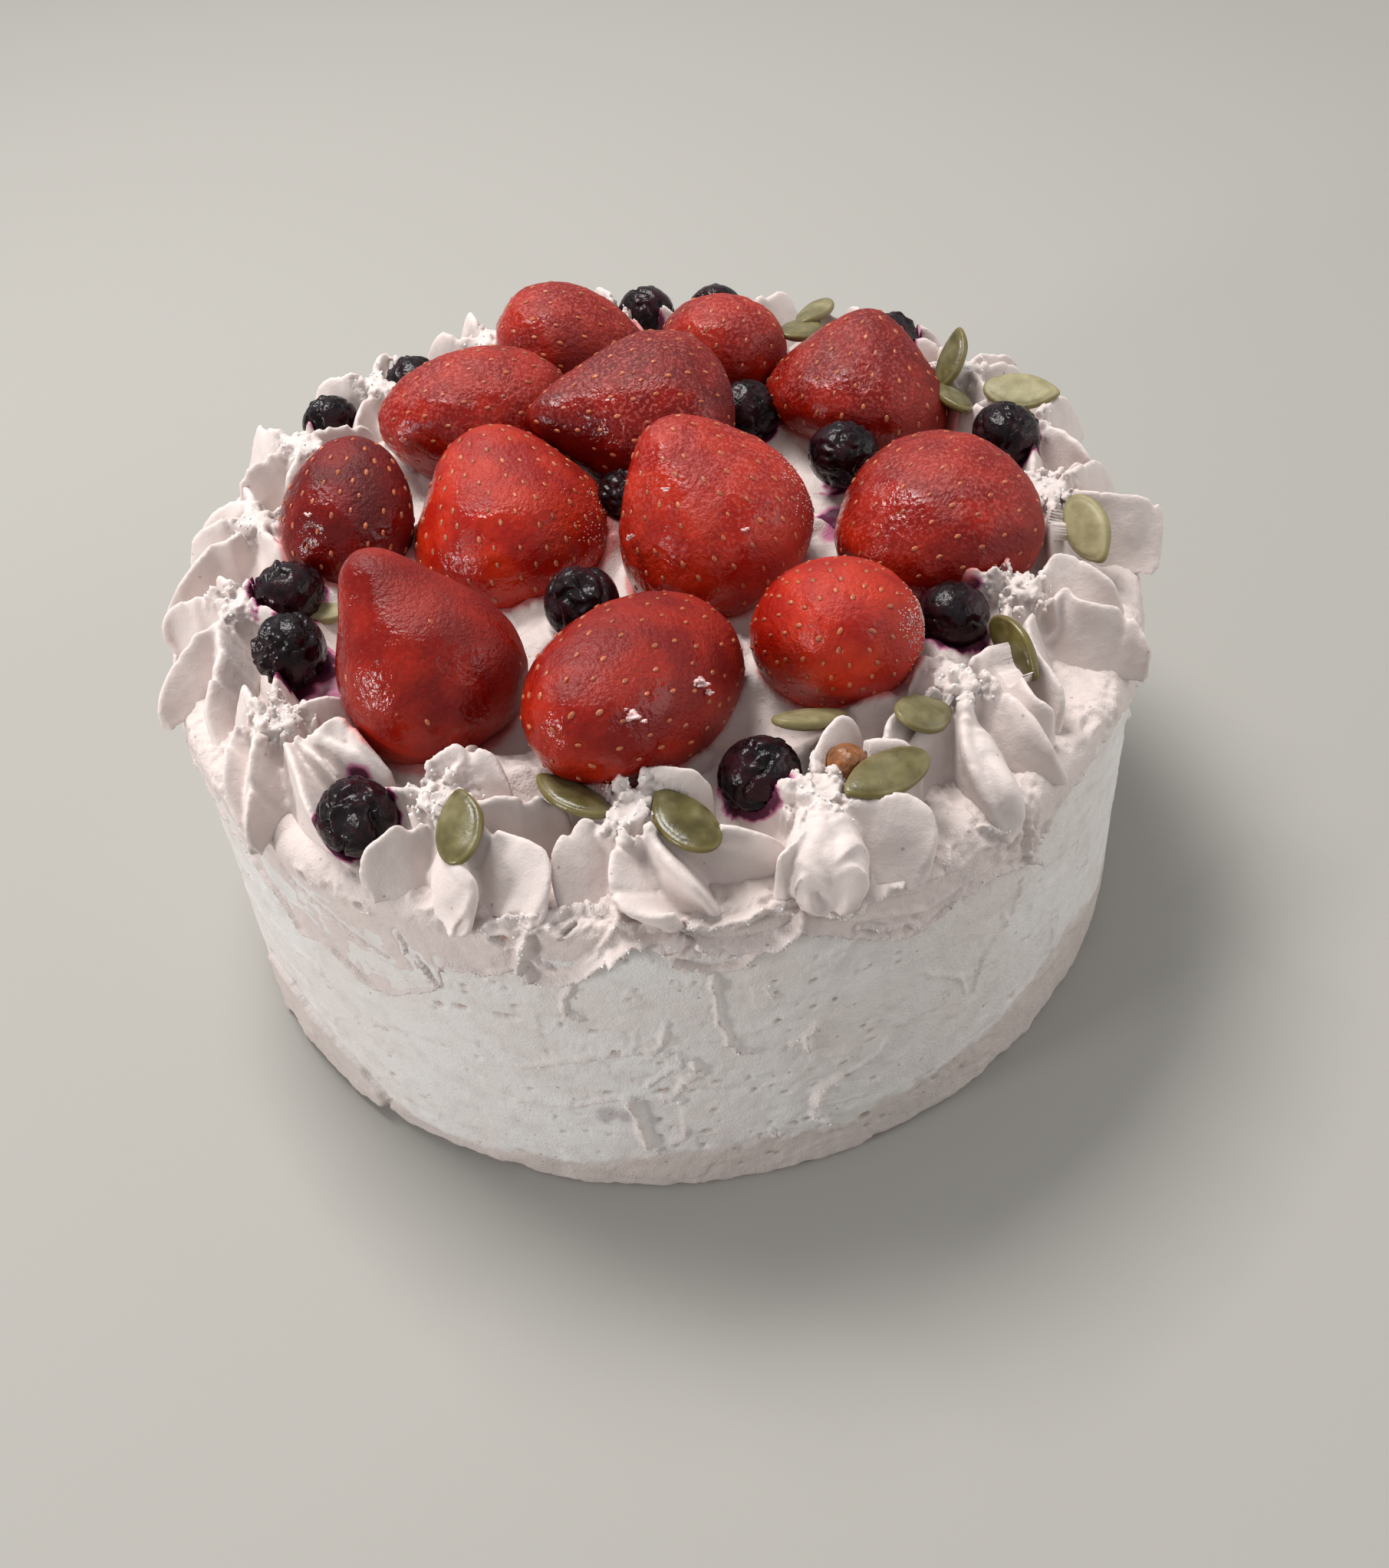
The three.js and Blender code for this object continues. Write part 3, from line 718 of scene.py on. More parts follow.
def cream_colour(tree, where, ground):
    """Adds soft mottling, specks, crumb and juice, with some painted shade in the juice, to a ground colour.
    """
    mottle = span(tree, clouds(tree, where, 60.0), 0.35, 0.7, 0.0, 0.35)
    patchy = span(tree, clouds(tree, where, 260.0), 0.42, 0.7, 0.0, 0.3)
    specks = use_group(tree, SPECKLE, where, Scale=420.0, Size=0.11, Share=0.22)
    juice = mask_of(tree, "blue_juice_and_shade")
    colour = blend(tree, mottle, ground, CREAM_PINK)
    colour = blend(tree, patchy, colour, CREAM_SHADE)
    colour = blend(tree, math_node(tree, "MULTIPLY", specks, 0.45), colour, BERRY_SPECK)
    colour = blend(tree, mask_of(tree, "crumb"), colour, CRUMB_BROWN)
    colour = blend(tree, span(tree, juice, 0.05, 0.5), colour, BLUE_JUICE_THIN)
    colour = blend(tree, span(tree, juice, 0.45, 0.85), colour, BLUE_JUICE_AND_SHADE)
    return blend(tree, mask_of(tree, "red_juice"), colour, RED_JUICE)


def cream_finish(tree, shader, where, strength):
    """Light that goes a little way in, small pores and a fine grain of the given strength."""
    pores = use_group(tree, SPECKLE, where, Scale=620.0, Size=0.16, Share=0.3)
    pitted = bump(tree, math_node(tree, "SUBTRACT", 1.0, pores), 0.6, 0.0004)
    grain = use_group(tree, GRAIN, where, Coarse=650.0, Fine=2600.0, Fine_share=0.5)
    fill(tree, shader, {
        "Roughness": 0.58,
        "Specular IOR Level": 0.35,
        "Subsurface Weight": 0.15,
        "Subsurface Radius": (1.0, 0.72, 0.62),
        "Subsurface Scale": 0.0008,
        "Normal": bump(tree, grain, strength, 0.00026, Normal=pitted),
    })


def wall_cream():
    """Greyish cream, pinker or darker where the masks say so: ridges painted lighter on the lip, and painted
    shade on its front edge.
    """
    material, tree, shader = new_material("iced cream")
    where = object_coordinates(tree)
    ground = blend(tree, mask_of(tree, "pinkness"), CREAM_WALL, CREAM_PINK)
    # Ridge light: ridges, rims and the bead take the torn cream's colour. On the pink lip and top that is a
    # painted highlight.
    ground = blend(tree, mask_of(tree, "ridge_light"), ground, CREAM_TORN)
    # The foot mask is the wall's darker foot band and also painted shade on the front of the lip's upper
    # edge.
    for label, colour in (("foot_and_shade", CREAM_FOOT_AND_SHADE), ("smear", CREAM_SMEAR)):
        ground = blend(tree, span(tree, mask_of(tree, label), 0.0, 1.0, 0.0, 0.8), ground, colour)
    fill(tree, shader, {"Base Color": cream_colour(tree, where, ground)})
    cream_finish(tree, shader, where, 0.8)
    return material


def piped_cream():
    """The cream of the swirls, a little darker where it tore."""
    material, tree, shader = new_material("piped cream")
    where = object_coordinates(tree)
    ground = blend(tree, mask_of(tree, "torn"), CREAM, CREAM_TORN)
    fill(tree, shader, {"Base Color": cream_colour(tree, where, ground)})
    cream_finish(tree, shader, where, 0.35)
    return material


def floor_material():
    material, tree, shader = new_material("pale floor")
    fill(tree, shader, {"Base Color": (*FLOOR_GREY, 1), "Roughness": 0.9})
    return material


WALL_CREAM = wall_cream()
PIPED_CREAM = piped_cream()
floor_mesh.materials.append(floor_material())
print("cream", CREAM)

# %% [markdown]
# Frozen strawberries that start to thaw: a red skin with paler blotches, a veil of frost on the upper
# shoulders, and wet sides that glint. Each berry stores its own tone, frost and wetness on its points; its
# tone also carries painted shade and light, darker on top and brighter underneath. Where it is wet the
# roughness drops and the bump changes from fine crystals to the wider ripples of a film of juice, so the
# window breaks up into small sparks. A clear coat would ignore that bump and veil the red.

# %% Fruit materials
# Pairs of colours: of a dark and a bright strawberry, and of a dark, wet and a pale, dry seed
DEEP_REDS = ((0.075, 0.0006, 0.0006), (0.45, 0.011, 0.003))
LIGHT_REDS = ((0.15, 0.0015, 0.001), (0.62, 0.036, 0.008))
DARK_GREENS = ((0.050, 0.038, 0.010), (0.34, 0.30, 0.16))
LIGHT_GREENS = ((0.110, 0.092, 0.028), (0.52, 0.46, 0.27))
FROST_PINK = (0.60, 0.14, 0.12)
ACHENE_ORANGE = (0.50, 0.12, 0.045)
BLUE_BLACK = (0.0035, 0.001, 0.0014)
BLUE_RED = (0.024, 0.0045, 0.007)
BLOOM_GREY = (0.016, 0.011, 0.014)
CALYX_GREY = (0.018, 0.012, 0.014)
SEED_RIM = (0.18, 0.14, 0.045)
RAISIN_BROWN = (0.27, 0.095, 0.026)
ICE_PINK = (0.84, 0.52, 0.50)
DRY_SKIN, WET_SKIN = 0.55, 0.05


def strawberry_skin():
    """Red with paler blotches, a veil of frost and wet sides."""
    material, tree, shader = new_material("strawberry skin")
    where = object_coordinates(tree)
    tone_and_shade, wet = mask_of(tree, "tone_and_shade"), mask_of(tree, "wet")
    # The tone mask holds painted shade and light: darker reds where the skin faces up, brighter where it
    # faces down.
    deep, light = [blend(tree, tone_and_shade, *reds) for reds in (DEEP_REDS, LIGHT_REDS)]
    colour = blend(tree, span(tree, clouds(tree, where, 160.0, 4), 0.36, 0.66), deep, light)
    frosty = span(tree, clouds(tree, where, 1700.0, 4), 0.50, 0.60)
    veil = math_node(tree, "MULTIPLY", mask_of(tree, "frost"), frosty)
    film = use_group(tree, GRAIN, where, Coarse=480.0, Fine=1300.0, Fine_share=0.5)
    crystals = use_group(tree, GRAIN, where, Coarse=1300.0, Fine=2800.0, Fine_share=0.5)
    height = blend(tree, span(tree, wet, 0.0, 0.6), crystals, film)
    fill(tree, shader, {
        "Base Color": blend(tree, veil, colour, FROST_PINK),
        "Roughness": span(tree, wet, 0.0, 0.6, DRY_SKIN, WET_SKIN),
        "Specular IOR Level": 0.32,
        "Subsurface Weight": 0.06,
        "Subsurface Radius": (1.0, 0.15, 0.1),
        "Subsurface Scale": 0.001,
        "Normal": bump(tree, height, 0.7, 0.0005),
    })
    return material


def plain_fruit(name, colour, roughness):
    """One colour with darker patches and a fine grain: achenes, the raisin and ice."""
    material, tree, shader = new_material(name)
    where = object_coordinates(tree)
    darker = tuple(c * 0.55 for c in colour)
    height = use_group(tree, GRAIN, where, Coarse=1100.0, Fine=2600.0, Fine_share=0.4)
    fill(tree, shader, {
        "Base Color": blend(tree, span(tree, clouds(tree, where, 900.0), 0.3, 0.7), darker, colour),
        "Roughness": roughness,
        "Normal": bump(tree, height, 0.6, 0.0004),
    })
    return material


def blueberry_skin():
    """Nearly black, with a thin bloom and a greyer calyx."""
    material, tree, shader = new_material("blueberry skin")
    where = object_coordinates(tree)
    bloom = mask_of(tree, "bloom")
    haze = span(tree, clouds(tree, where, 800.0), 0.35, 0.75)
    colour = blend(tree, span(tree, clouds(tree, where, 350.0), 0.4, 0.65), BLUE_BLACK, BLUE_RED)
    colour = blend(tree, math_node(tree, "MULTIPLY", bloom, haze), colour, BLOOM_GREY)
    height = use_group(tree, GRAIN, where, Coarse=600.0, Fine=1500.0, Fine_share=0.5)
    fill(tree, shader, {
        "Base Color": blend(tree, mask_of(tree, "calyx"), colour, CALYX_GREY),
        "Roughness": span(tree, bloom, 0.2, 1.0, 0.12, 0.24),
        "Specular IOR Level": 0.2,
        "Normal": bump(tree, height, 0.55, 0.0005),
    })
    return material


def seed_skin():
    """Olive green in patches, with a rim of its own colour."""
    material, tree, shader = new_material("pumpkin seed skin")
    where = object_coordinates(tree)
    tone_and_shade = mask_of(tree, "tone_and_shade")
    dark, light = [blend(tree, tone_and_shade, *greens) for greens in (DARK_GREENS, LIGHT_GREENS)]
    colour = blend(tree, span(tree, clouds(tree, where, 420.0), 0.2, 0.9), dark, light)
    height = use_group(tree, GRAIN, where, Coarse=500.0, Fine=1800.0, Fine_share=0.5)
    fill(tree, shader, {
        "Base Color": blend(tree, mask_of(tree, "rim"), colour, SEED_RIM),
        "Roughness": span(tree, tone_and_shade, 0.0, 0.5, 0.26, 0.5),
        "Specular IOR Level": 0.35,
        "Normal": bump(tree, height, 0.3, 0.0003),
    })
    return material


STRAWBERRY_SKIN = strawberry_skin()
ACHENE = plain_fruit("achene", ACHENE_ORANGE, 0.35)
BLUEBERRY_SKIN = blueberry_skin()
SEED_SKIN = seed_skin()
RAISIN_SKIN = plain_fruit("raisin skin", RAISIN_BROWN, 0.4)
ICE = plain_fruit("ice", ICE_PINK, 0.16)
print("fruit materials made")

# %% [markdown]
# Juice stains the cream where frozen berries thaw on it. Each cream piece asks how far its points are from
# the berries, with noise added so that the edge of a stain is uneven. The dark blueberry stains are largest
# where the photograph shows runs: under two berries on the left, and round the ones near the front edge.
# Under the fourth blueberry a dark spot is juice and painted shade of the berry together.

# %% Juice masks
BLUE_STAIN_REACH = [0.6, 0.5, 0.7, 2.0, 0.8, 0.9, 1.0, 1.6, 1.0, 0.9, 0.7, 0.4, 0.5, 0.4, 0.5]
JUICE_AND_SHADE_SPOTS = [
    # x, y, height over the top, radius, strength of a run of juice; two of them also paint shade
    (-47.5, -30.5, 2.0, 4.6, 0.62),
    (-45.0, -35.0, 2.5, 3.0, 0.45),
    (-41.5, -50.5, 6.0, 2.6, 1.0),
    # These two lie under the fourth blueberry: painted shade and juice together.
    (31.0, 5.5, 2.0, 3.5, 1.0),
    (31.0, 2.0, 2.5, 3.5, 0.55),
    (49.0, -31.0, 6.5, 1.6, 0.9),
]


def juice_masks(points):
    """How much blueberry and strawberry juice stains each point. The blue part also holds painted shade under
    one blueberry.
    """
    wobble = rough(points, 2.2, 5, 3)
    blue = np.zeros(len(points))
    for berry, reach in zip(BLUEBERRIES, BLUE_STAIN_REACH):
        d = np.linalg.norm(points - middle_of(berry), axis=1) - berry[5]
        blue = np.maximum(blue, 1 - ease(d + wobble * 1.3 * reach, 0.15 * reach, reach + 0.25))
    for x, y, over, radius, strength in JUICE_AND_SHADE_SPOTS:
        d = np.linalg.norm(points - np.array([x, y, CAKE_TOP + over]), axis=1)
        blue = np.maximum(blue, strength * (1 - ease(d / radius + wobble * 0.35, 0.35, 1.15)))
    red = np.zeros(len(points))
    for berry in STRAWBERRIES:
        gap = (berry_share(points, berry) - 1) * berry[6] / 2
        red = np.maximum(red, 1 - ease(gap + wobble * 0.5, 0.1, 0.9))
    return blue, red * 0.8


print(len(JUICE_AND_SHADE_SPOTS), "runs of juice")

# %% [markdown]
# The iced cake is dressed in three pieces that overlap: the smoothed wall, the torn lip along its upper edge
# and the lumpy cream between the berries. One grid could carry all three, but a lip that is a piece of its
# own can end in a crisp ragged edge with a real shadow under it. All three are grids of points, closer
# together at the front, where the photograph shows single knife marks. Lines and outlines on the wall are
# given as directions in degrees (-90 is the front) and heights in millimetres, read off the photograph.

# %% Lines and outlines on the unrolled wall
WALL_COLUMNS = 800
SHOULDER = 3.4
WALL_WAVE = 0.45
FLAT_AT, FLAT_SPREAD, FLAT_DEPTH = -158, 32, 1.8


def spaced_directions(count):
    """Directions of the columns in radians, about four times closer together at the front."""
    fine = np.linspace(-math.pi, math.pi, 3601)
    density = 1 + 3.0 * ease(np.cos(fine + math.pi / 2), 0.12, 0.4)
    total = np.concatenate([[0], np.cumsum((density[1:] + density[:-1]) / 2)])
    return np.interp(np.arange(count) / count * total[-1], total, fine)


def turn_from(angle, direction):
    """How far an angle has turned from a direction in degrees, at most half a turn either way."""
    return (angle - math.radians(direction) + math.pi) % (2 * math.pi) - math.pi


def flat_side(angle):
    """The left side is a little flatter than a true round: how far it stands back."""
    return FLAT_DEPTH * hump(turn_from(angle, FLAT_AT), math.radians(FLAT_SPREAD))


def on_wall(angle, z):
    """The point of the plain round wall at a direction and a height."""
    return ring_points(CAKE_RADIUS, angle, z)


def line_distance(angle, z, line):
    """Distance on the unrolled wall to a line through points of direction and height."""
    x = angle * CAKE_RADIUS
    best = np.full(np.broadcast(angle, z).shape, 1e9)
    marks = [(math.radians(a) * CAKE_RADIUS, h) for a, h in line]
    for (ax, az), (bx, bz) in zip(marks, marks[1:]):
        ux, uz = bx - ax, bz - az
        t = np.clip(((x - ax) * ux + (z - az) * uz) / (ux * ux + uz * uz), 0, 1)
        best = np.minimum(best, np.hypot(x - ax - t * ux, z - az - t * uz))
    return best


def outline_distance(angle, z, outline):
    """Distance to a closed outline, negative inside it."""
    x = angle * CAKE_RADIUS
    closed = outline + outline[:1]
    inside = np.zeros(np.broadcast(angle, z).shape, bool)
    for (a0, z0), (a1, z1) in zip(closed, closed[1:]):
        if z0 == z1:
            continue
        x0, x1 = math.radians(a0) * CAKE_RADIUS, math.radians(a1) * CAKE_RADIUS
        inside ^= ((z0 > z) != (z1 > z)) & (x < (x1 - x0) * (z - z0) / (z1 - z0) + x0)
    return np.where(inside, -1, 1) * line_distance(angle, z, closed)


def along_wall(angle, marks):
    """A height that follows marks of direction and height round the wall."""
    turns, heights = zip(*sorted(marks))
    return np.interp(np.degrees(angle), turns, heights)


DIRECTIONS = spaced_directions(WALL_COLUMNS)
print("column spacing in front", round(float(np.diff(DIRECTIONS).min() * CAKE_RADIUS), 2), "mm")

# %% [markdown]
# The relief of the wall. Smoothing with a knife leaves long flat strokes and thin ridges where the blade
# lifted. Level lines of a slow noise make those ridges anywhere, and the ones that the photograph shows are
# drawn one by one. Rough patches are where the blade dragged the cream, and pits are where it tore. At the
# foot a darker band of cream was pressed down, with a loose skirt at the left, where the knife also cut the
# side of the cake a little flatter than round.

# %% Relief of the wall
RIDGES = [
    # points, then half width and height in millimetres
    ([(-100.2, 50), (-100.7, 47.2), (-101.5, 45.7), (-101.5, 43.4), (-100, 41.3)], 0.50, 0.8),
    ([(-86.4, 50.3), (-86.4, 44.5), (-86.1, 39.6), (-85.3, 34.6), (-84.3, 33.2), (-82.4, 31.9)], 0.42, 0.8),
    ([(-91.6, 40.3), (-92, 36.5), (-92.8, 34.3), (-94, 33.9), (-98.3, 33.3), (-101, 32.4)], 0.50, 0.7),
    ([(-101, 32.4), (-105.5, 30.1), (-107.8, 28.7)], 0.40, 0.4),
    ([(-94.2, 26.3), (-91.8, 29.6), (-90.5, 30.6)], 0.50, 0.7),
    ([(-92, 33.6), (-89.4, 32.1), (-88.7, 29.6), (-88.1, 28.6), (-90.4, 27.1), (-91, 24.8)], 0.45, 0.8),
    ([(-109.1, 19.4), (-107, 20.6), (-105.1, 20.2), (-102.4, 20.8), (-100.2, 22.1), (-97, 23.4)], 0.42, 0.6),
    ([(-97, 23.4), (-94.4, 22.9), (-91.8, 23.3), (-90.8, 22)], 0.45, 0.6),
    ([(-96.4, 23.2), (-96.0, 20.3), (-95.4, 17.9), (-95.6, 15.3), (-94.9, 12.4), (-94.3, 10.6)], 0.80, 1.4),
    ([(-94.3, 11), (-93, 12.1), (-91, 13), (-90.6, 15)], 0.40, 0.55),
    ([(-73.6, 20.5), (-75.8, 19.1), (-76.4, 16.4), (-76.7, 13.4), (-75, 10.1)], 0.65, 1.2),
    ([(-76.2, 17.5), (-75, 19.4), (-71.5, 21.1), (-69.1, 22.4), (-67.3, 26.7)], 0.42, 0.5),
    ([(-76, 34.7), (-77.4, 32.4), (-76.9, 29.2)], 0.50, 0.9),
    ([(-77.4, 32.4), (-78.8, 31.8)], 0.45, 0.7),
    ([(-81.2, 45), (-80.4, 43)], 0.35, 0.6),
    ([(-81.4, 11.7), (-80.9, 9.9), (-80.4, 11.2)], 0.40, 0.7),
    ([(-80.3, 10.6), (-77.6, 8.9), (-73.3, 7), (-71.5, 7.4)], 0.40, 0.5),
    ([(-63.8, 36.7), (-62.3, 34.6), (-58.3, 30.4), (-57.4, 25.3)], 0.40, 0.45),
    ([(-56.1, 24.9), (-55.2, 31.6), (-53.3, 34.6), (-50.8, 37.6), (-50.1, 42.6)], 0.45, 0.5),
    ([(-137.5, 32.3), (-134.1, 32.5), (-130.7, 28.7), (-127.6, 28.1), (-124.5, 26.7)], 0.35, 0.45),
    ([(20, 46), (34, 40), (41, 30)], 0.6, 0.6),
    ([(62, 30), (70, 33), (84, 27), (90, 18)], 0.6, 0.7),
    ([(110, 47), (121, 40), (126, 29)], 0.6, 0.6),
    ([(150, 35), (161, 30), (166, 20), (158, 13)], 0.7, 0.8),
    ([(-18, 40), (-8, 34), (4, 33)], 0.6, 0.6),
]
ROUGH_PATCHES = [
    # direction, height, half width and half height in millimetres
    (-96, 33, 13, 8),
    (-88, 27, 8, 9),
    (-75, 22, 9, 8),
    (-73, 47, 8, 7),
    (-68, 30, 6, 5),
    (-110, 46, 8, 4),
    (40, 30, 18, 10),
    (130, 35, 20, 9),
]
KNIFE_STOP = [(-95, 22.5), (-91.5, 22.8), (-90.8, 20), (-91.2, 18.5)]
KNIFE_STOP += [(-90.9, 13.2), (-93.4, 12), (-94.5, 13.5)]
PITS = [
    # direction, height, half width, half height, depth
    (-108, 40.2, 1.7, 0.6, 0.9),
    (-115.6, 39.2, 1.0, 0.7, 0.7),
    (-113.1, 40, 1.3, 0.6, 0.7),
    (-99, 38.4, 0.8, 0.4, 0.5),
    (-124.8, 26, 0.9, 0.6, 0.6),
    (-92.5, 24.6, 1.6, 0.5, 0.7),
    (-88.5, 13.9, 1.4, 0.45, 0.6),
    (-70.5, 7.5, 1.2, 0.8, 0.7),
    (-74, 38.5, 0.6, 0.5, 0.5),
    (-49, 14.5, 0.9, 0.7, 0.6),
    (-143.5, 17.1, 1.0, 0.9, 0.9),
]
RANDOM_PITS = 260
FRONT_PITS = -92
FRONT_SPREAD = 26
FOOT_LINE = [(-180, 7), (-150, 9), (-132, 6.5), (-120, 4.5), (-110, 5), (-100, 6), (-95, 8.5), (-86, 9.5)]
FOOT_LINE += [(-78, 9), (-72.5, 8), (-61, 9.7), (-51, 11), (-43.5, 13), (-37.6, 16)]
FOOT_LINE += [(-28, 12), (0, 9), (180, 7)]
SKIRT = [(-152, 15), (-143.9, 16.4), (-140.5, 14.6), (-136.1, 12.1), (-131.4, 9.3), (-128.5, 5), (-131, -2)]
SKIRT += [(-152, -2)]
STROKE_STRETCH = np.array([1, 1, 2.6])
GRIT_STRETCH = np.array([1, 1, 1.5])
HEM_STRETCH = np.array([1, 1, 0.5])
STROKE_DEPTH = 0.20
STOP_DEPTH = 0.35
LAYER_STEP = 0.18
BLADE_RIDGE = 0.26
DRAG_DEPTH = 0.20
GRIT_DEPTH = 0.24


def all_pits():
    """The pits that show one by one, then small random ones, most of them in front."""
    pick = np.random.default_rng(12)
    pits = list(PITS)
    for _ in range(RANDOM_PITS):
        width = pick.uniform(0.2, 0.62)
        turn = pick.uniform(-180, 180) if pick.random() < 0.35 else pick.normal(FRONT_PITS, FRONT_SPREAD)
        pits.append((turn, 4 + 50 * pick.random(), width * 1.3, width * 0.6, width * 0.9))
    return pits


def dragged(angle, z, ring):
    """Where the blade dragged the cream: 1 in the middle of a rough patch."""
    drag = 0.28 * ease(noise(ring, 9.0, 39), 0.15, 0.7)
    for turn, high, wide, tall in ROUGH_PATCHES:
        dx = (angle - math.radians(turn)) * CAKE_RADIUS / wide
        reach = np.hypot(dx, (z - high) / tall) + 0.5 * rough(ring, 5.0, 45, 2)
        drag = np.maximum(drag, 1 - ease(reach, 0.5, 1.1))
    return drag


def wall_relief(angle, z):
    """How far the wall stands out, then the masks of bare pits, of ridges for the painted ridge light, and of
    the foot.
    """
    ring = on_wall(angle, z)
    slow = np.sin(3 * angle + 0.9 + z * 0.02) + 0.6 * np.sin(5 * angle + 2.2 - z * 0.03)
    out = WALL_WAVE * (slow + 0.4 * np.sin(11 * angle + z * 0.11)) / 2
    tear = rough(ring, 1.5, 37, 3)
    stroke = ring * STROKE_STRETCH
    calm = ease(outline_distance(angle, z, KNIFE_STOP) + 0.3 * tear, -0.3, 0.3)
    out += STROKE_DEPTH * rough(stroke, 17.0, 21, 5) * (0.25 + 0.75 * calm) - STOP_DEPTH * (1 - calm)
    level = rough(stroke + 40, 15.0, 33, 4)
    edge = hump(level, 0.022) * ease(noise(ring, 12.0, 35), -0.15, 0.35)
    out += LAYER_STEP * ease(level, -0.01, 0.03) + BLADE_RIDGE * edge * calm
    grit = 0.5 - grains(ring * GRIT_STRETCH, 1.5, 47)
    out += calm * dragged(angle, z, ring) * (DRAG_DEPTH * tear + GRIT_DEPTH * grit)
    # Ridge light: the material pulls these ridges towards the torn cream's colour, which on the greyer wall
    # makes them pinker.
    ridge_light = 0.5 * edge * calm
    for line, width, height in RIDGES:
        d = line_distance(angle + tear * 0.006, z + tear * 0.4, line)
        ridge = 1.2 * height * hump(d, 0.75 * width) * (0.75 + 0.7 * tear)
        out += ridge
        ridge_light = np.maximum(ridge_light, np.clip(ridge * 1.3, 0, 1))
    bare = np.zeros(out.shape)
    for turn, high, wide, tall, deep in all_pits():
        dx = turn_from(angle, turn)
        inside = 1 - (dx * CAKE_RADIUS / wide) ** 2 - ((z - high) / tall) ** 2 + 0.4 * tear
        out -= deep * np.sqrt(np.clip(inside, 0, 1))
        bare = np.maximum(bare, ease(inside, 0.3, 0.9) * min(1, deep))
    return out, bare, ridge_light, foot_relief(angle, z, ring, out)


def foot_relief(angle, z, ring, out):
    """Shapes the lowest band in place and gives its mask."""
    hem = rough(ring * HEM_STRETCH, 5.0, 55, 4)
    line = along_wall(angle, FOOT_LINE) + 2.0 * hem
    foot_and_shade = 1 - ease(z - line, -0.9, 0.9)
    out -= 0.35 * hump(z - line, 0.7) * ease(noise(ring, 7.0, 57), -0.1, 0.5)
    out += 0.30 * foot_and_shade * rough(ring, 3.0, 59, 4)
    skirt = outline_distance(angle, z, SKIRT) + 1.3 * hem + 0.5 * rough(ring, 1.6, 58, 3)
    out += (0.8 + 0.5 * hem) * (1 - ease(skirt, -0.6, 0.2)) - 0.7 * hump(skirt - 0.5, 0.4)
    bottom = ease(z + 1.2 * hem, -0.6, 1.4)
    out *= bottom
    out -= (1 - bottom) * 1.1
    return np.maximum(foot_and_shade, 0.8 * (1 - ease(skirt, -0.4, 0.4)))


print(len(RIDGES), "ridges and", len(PITS) + RANDOM_PITS, "pits")

# %% [markdown]
# The wall goes up to just under the rounded shoulder and is closed by a plain sunken disc, which the lip and
# the upper cream cover.

# %% The smoothed wall
WALL_STEP = 0.48
WALL_END = CAKE_TOP - 2.2
DISC_SHARES = (0.97, 0.6, 0.0)
DISC_HEIGHT = CAKE_TOP - 1.6
SMEAR = [(-100.3, 19.8), (-98.2, 20.8), (-96.2, 19.1), (-96.4, 17), (-100, 17)]
PLAIN_MASKS = {"crumb": 0, "pinkness": 1, "foot_and_shade": 0, "smear": 0, "ridge_light": 0}


def pole_mask(rows):
    """Masks of a shell's points: its inner rows, then its two poles."""
    return np.concatenate([rows[1:-1].ravel(), [rows[0].mean(), rows[-1].mean()]])


def wall_grid():
    """The rows of the wall from the middle of its underside to the middle of its top, and its masks."""
    low_rows = np.arange(0.0, CAKE_TOP - 6.0, WALL_STEP)
    z = np.concatenate([low_rows, np.linspace(CAKE_TOP - 5.5, WALL_END, 6)])[:, None]
    angle = DIRECTIONS[None, :]
    relief, bare, ridge_light, foot_and_shade = wall_relief(angle + 0 * z, z + 0 * angle)
    tuck = 1.2 * ease(z, CAKE_TOP - 7.0, CAKE_TOP - 3.0)
    radius = CAKE_RADIUS + relief - tuck - flat_side(angle)
    under = [ring_points(share * radius[0], DIRECTIONS, 0.0) for share in DISC_SHARES[::-1]]
    lid = [ring_points(share * radius[-1], DIRECTIONS, DISC_HEIGHT) for share in DISC_SHARES]
    grid = np.concatenate([under, ring_points(radius, angle, z), lid])
    none = np.zeros((len(DISC_SHARES), WALL_COLUMNS))
    masks = {"crumb": bare, "ridge_light": ridge_light, "foot_and_shade": foot_and_shade}
    return grid, {label: np.concatenate([none, rows, none]) for label, rows in masks.items()}


def smear_mask(points):
    """A grey-purple smear low on the front of the wall."""
    angle = np.arctan2(points[:, 1], points[:, 0])
    d = outline_distance(angle, points[:, 2], SMEAR) + 1.2 * rough(points, 1.8, 65, 3)
    return 0.75 * (1 - ease(d, -0.9, 0.9))


def finish_cream(name, mesh, given_masks):
    """Stores the masks of a cream mesh and makes it a finished piece of the cake's body."""
    points = points_of(mesh)
    masks = {label: np.full(len(points), float(value)) for label, value in PLAIN_MASKS.items()}
    masks.update(given_masks)
    masks["loose"] = 0.25 * ease(masks["ridge_light"], 0.35, 0.8)
    masks["blue_juice_and_shade"], masks["red_juice"] = juice_masks(points)
    set_masks(mesh, masks)
    mesh.materials.append(WALL_CREAM)
    thing = add_object(name, mesh)
    finish_piece(thing, "icing", "cake_body")
    return thing


grid, rows = wall_grid()
wall_mesh = shell("cake_wall", grid)
wall_points = points_of(wall_mesh)
masks = {label: pole_mask(values) for label, values in rows.items()}
masks["smear"] = smear_mask(wall_points)
masks["pinkness"] = 0.35 * ease(rough(wall_points, 22.0, 67, 2), -0.1, 0.5)
cake_wall = finish_cream("cake_wall", wall_mesh, masks)
print("wall:", len(wall_mesh.polygons), "faces")
